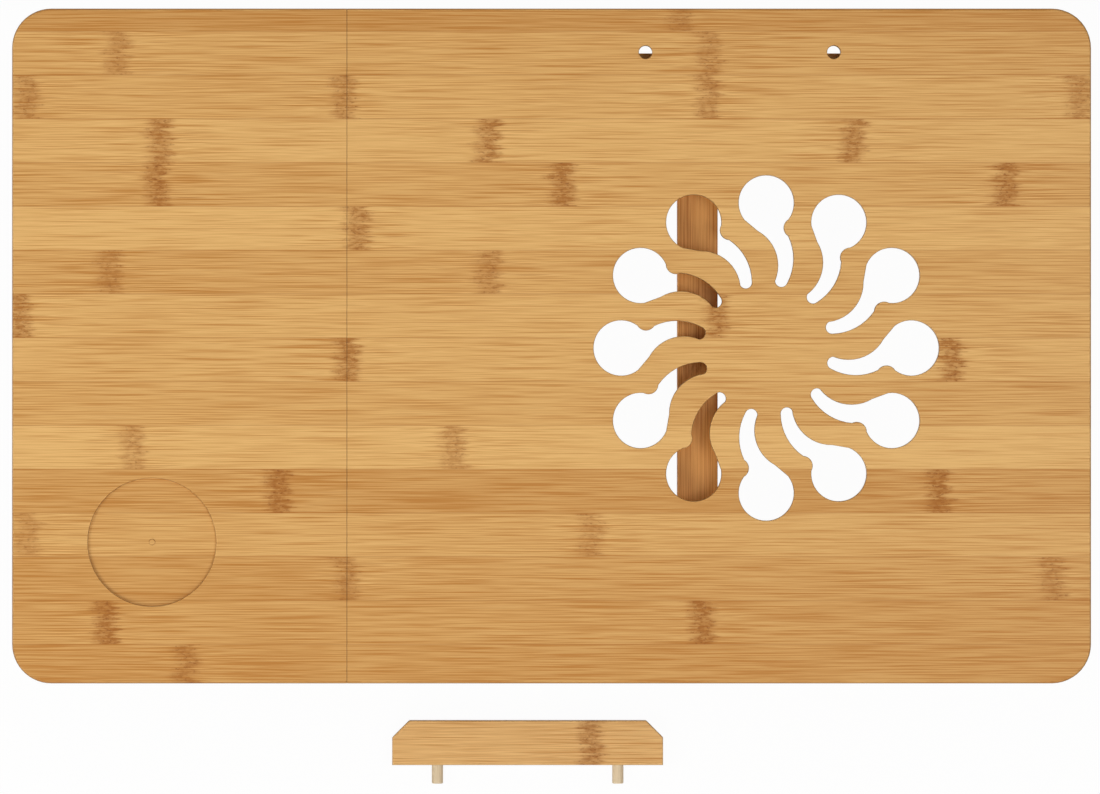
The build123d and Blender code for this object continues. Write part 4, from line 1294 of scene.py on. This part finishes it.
class TABLE_OT_studio(bpy.types.Operator):
    """Lay the floor and set the lamps, the world and the camera"""

    bl_idname = "table.studio"
    bl_label = "Studio"

    def execute(self, context):
        scene = context.scene
        scene.view_settings.view_transform = "Standard"
        self.floor()
        self.world(scene)
        for name, (offset, size, power) in LAMPS.items():
            self.lamp(name, TOP_MID + Vector(offset), size, getattr(look("studio"), power))
        self.camera(scene)
        return {"FINISHED"}

    def floor(self):
        """Pale floor, white to the camera apart from a faint shadow, and open when seen from below."""
        half = FLOOR_HALF
        outline = ((-half, -half), (half, -half), (half, half), (-half, half))
        corners = [(x, y, FLOOR_LEVEL) for x, y in outline]
        mesh = bpy.data.meshes.new("floor")
        mesh.from_pydata(corners, [], [(0, 1, 2, 3)])
        material = bpy.data.materials.new("Floor paper")
        material.use_nodes = True
        wires = Wiring(material.node_tree)
        wires.tree.nodes.clear()
        paper = wires.make("ShaderNodeBsdfDiffuse", {"Color": FLOOR_GREY}).outputs[0]
        glow = wires.make("ShaderNodeEmission", {"Color": WHITE, "Strength": 1.0}).outputs[0]
        share = wires.math("MULTIPLY", light_share(wires), look("studio").floor_white)
        seen = wires.mix_shader(share, paper, glow)
        below = wires.add("ShaderNodeNewGeometry").outputs["Backfacing"]
        clear = wires.add("ShaderNodeBsdfTransparent").outputs[0]
        wires.make("ShaderNodeOutputMaterial", {"Surface": wires.mix_shader(below, seen, clear)})
        mesh.materials.append(material)
        floor = bpy.data.objects.new("floor", mesh)
        bpy.context.scene.collection.objects.link(floor)

    def world(self, scene):
        """Even white light from all round, plain white where it is seen."""
        world = bpy.data.worlds.new("Studio")
        world.use_nodes = True
        wires = Wiring(world.node_tree)
        wires.tree.nodes.clear()
        strength = wires.ramp(light_share(wires), 0.0, 1.0, look("studio").sky, 1.0)
        sky = wires.make("ShaderNodeBackground", {"Color": WHITE, "Strength": strength}).outputs[0]
        wires.make("ShaderNodeOutputWorld", {"Surface": sky})
        scene.world = world

    def lamp(self, name, place, size, power):
        """Square soft lamp aimed at the table."""
        lamp = bpy.data.lights.new(name, "AREA")
        lamp.size = size
        lamp.energy = power
        holder = bpy.data.objects.new(name, lamp)
        holder.location = place
        holder.rotation_euler = (TOP_MID - place).to_track_quat("-Z", "Y").to_euler()
        bpy.context.scene.collection.objects.link(holder)

    def camera(self, scene):
        """Camera straight above the table, with the user's side at the top of the picture."""
        settings = look("studio")
        camera = bpy.data.cameras.new("Camera")
        camera.sensor_width = SENSOR_WIDTH
        camera.lens = SENSOR_WIDTH * settings.camera_distance * settings.pixels_per_metre / PHOTO_WIDTH
        holder = bpy.data.objects.new("Camera", camera)
        holder.location = TOP_MID + Vector((*settings.camera_shift, settings.camera_distance))
        holder.rotation_euler = (0.0, 0.0, math.pi)
        scene.collection.objects.link(holder)
        scene.camera = holder


OPERATORS = (
    TABLE_OT_top, TABLE_OT_frame, TABLE_OT_drawer, TABLE_OT_legs, TABLE_OT_ledge, TABLE_OT_plates,
    TABLE_OT_bolts, TABLE_OT_screws, TABLE_OT_knobs, TABLE_OT_pads, TABLE_OT_studio,
)
LOOKS = {"bamboo": BambooLook, "hardware": HardwareLook, "studio": StudioLook}


class TABLE_PT_pieces(bpy.types.Panel):
    """Lists the table's pieces and the sizes and colours that can be changed"""

    bl_idname = "TABLE_PT_pieces"
    bl_label = "Laptop Table"
    bl_space_type = "VIEW_3D"
    bl_region_type = "UI"
    bl_category = "Laptop Table"

    def draw(self, context):
        for kind, group in LOOKS.items():
            box = self.layout.box()
            box.label(text=kind.title())
            for name in group.__annotations__:
                box.prop(look(kind), name)
        for operator in OPERATORS:
            self.layout.operator(operator.bl_idname)


CLASSES = (*LOOKS.values(), *OPERATORS, TABLE_PT_pieces)


def register():
    """Registers the classes and gives the scene its settings."""
    for entry in CLASSES:
        bpy.utils.register_class(entry)
    for kind, group in LOOKS.items():
        setattr(bpy.types.Scene, "table_" + kind, bpy.props.PointerProperty(type=group))


def unregister():
    """Takes away the settings and the classes."""
    for kind in LOOKS:
        delattr(bpy.types.Scene, "table_" + kind)
    for entry in reversed(CLASSES):
        bpy.utils.unregister_class(entry)


def main():
    """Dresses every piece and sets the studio."""
    register()
    for operator in OPERATORS:
        category, name = operator.bl_idname.split(".")
        getattr(getattr(bpy.ops, category), name)()


if __name__ == "__main__":
    main()
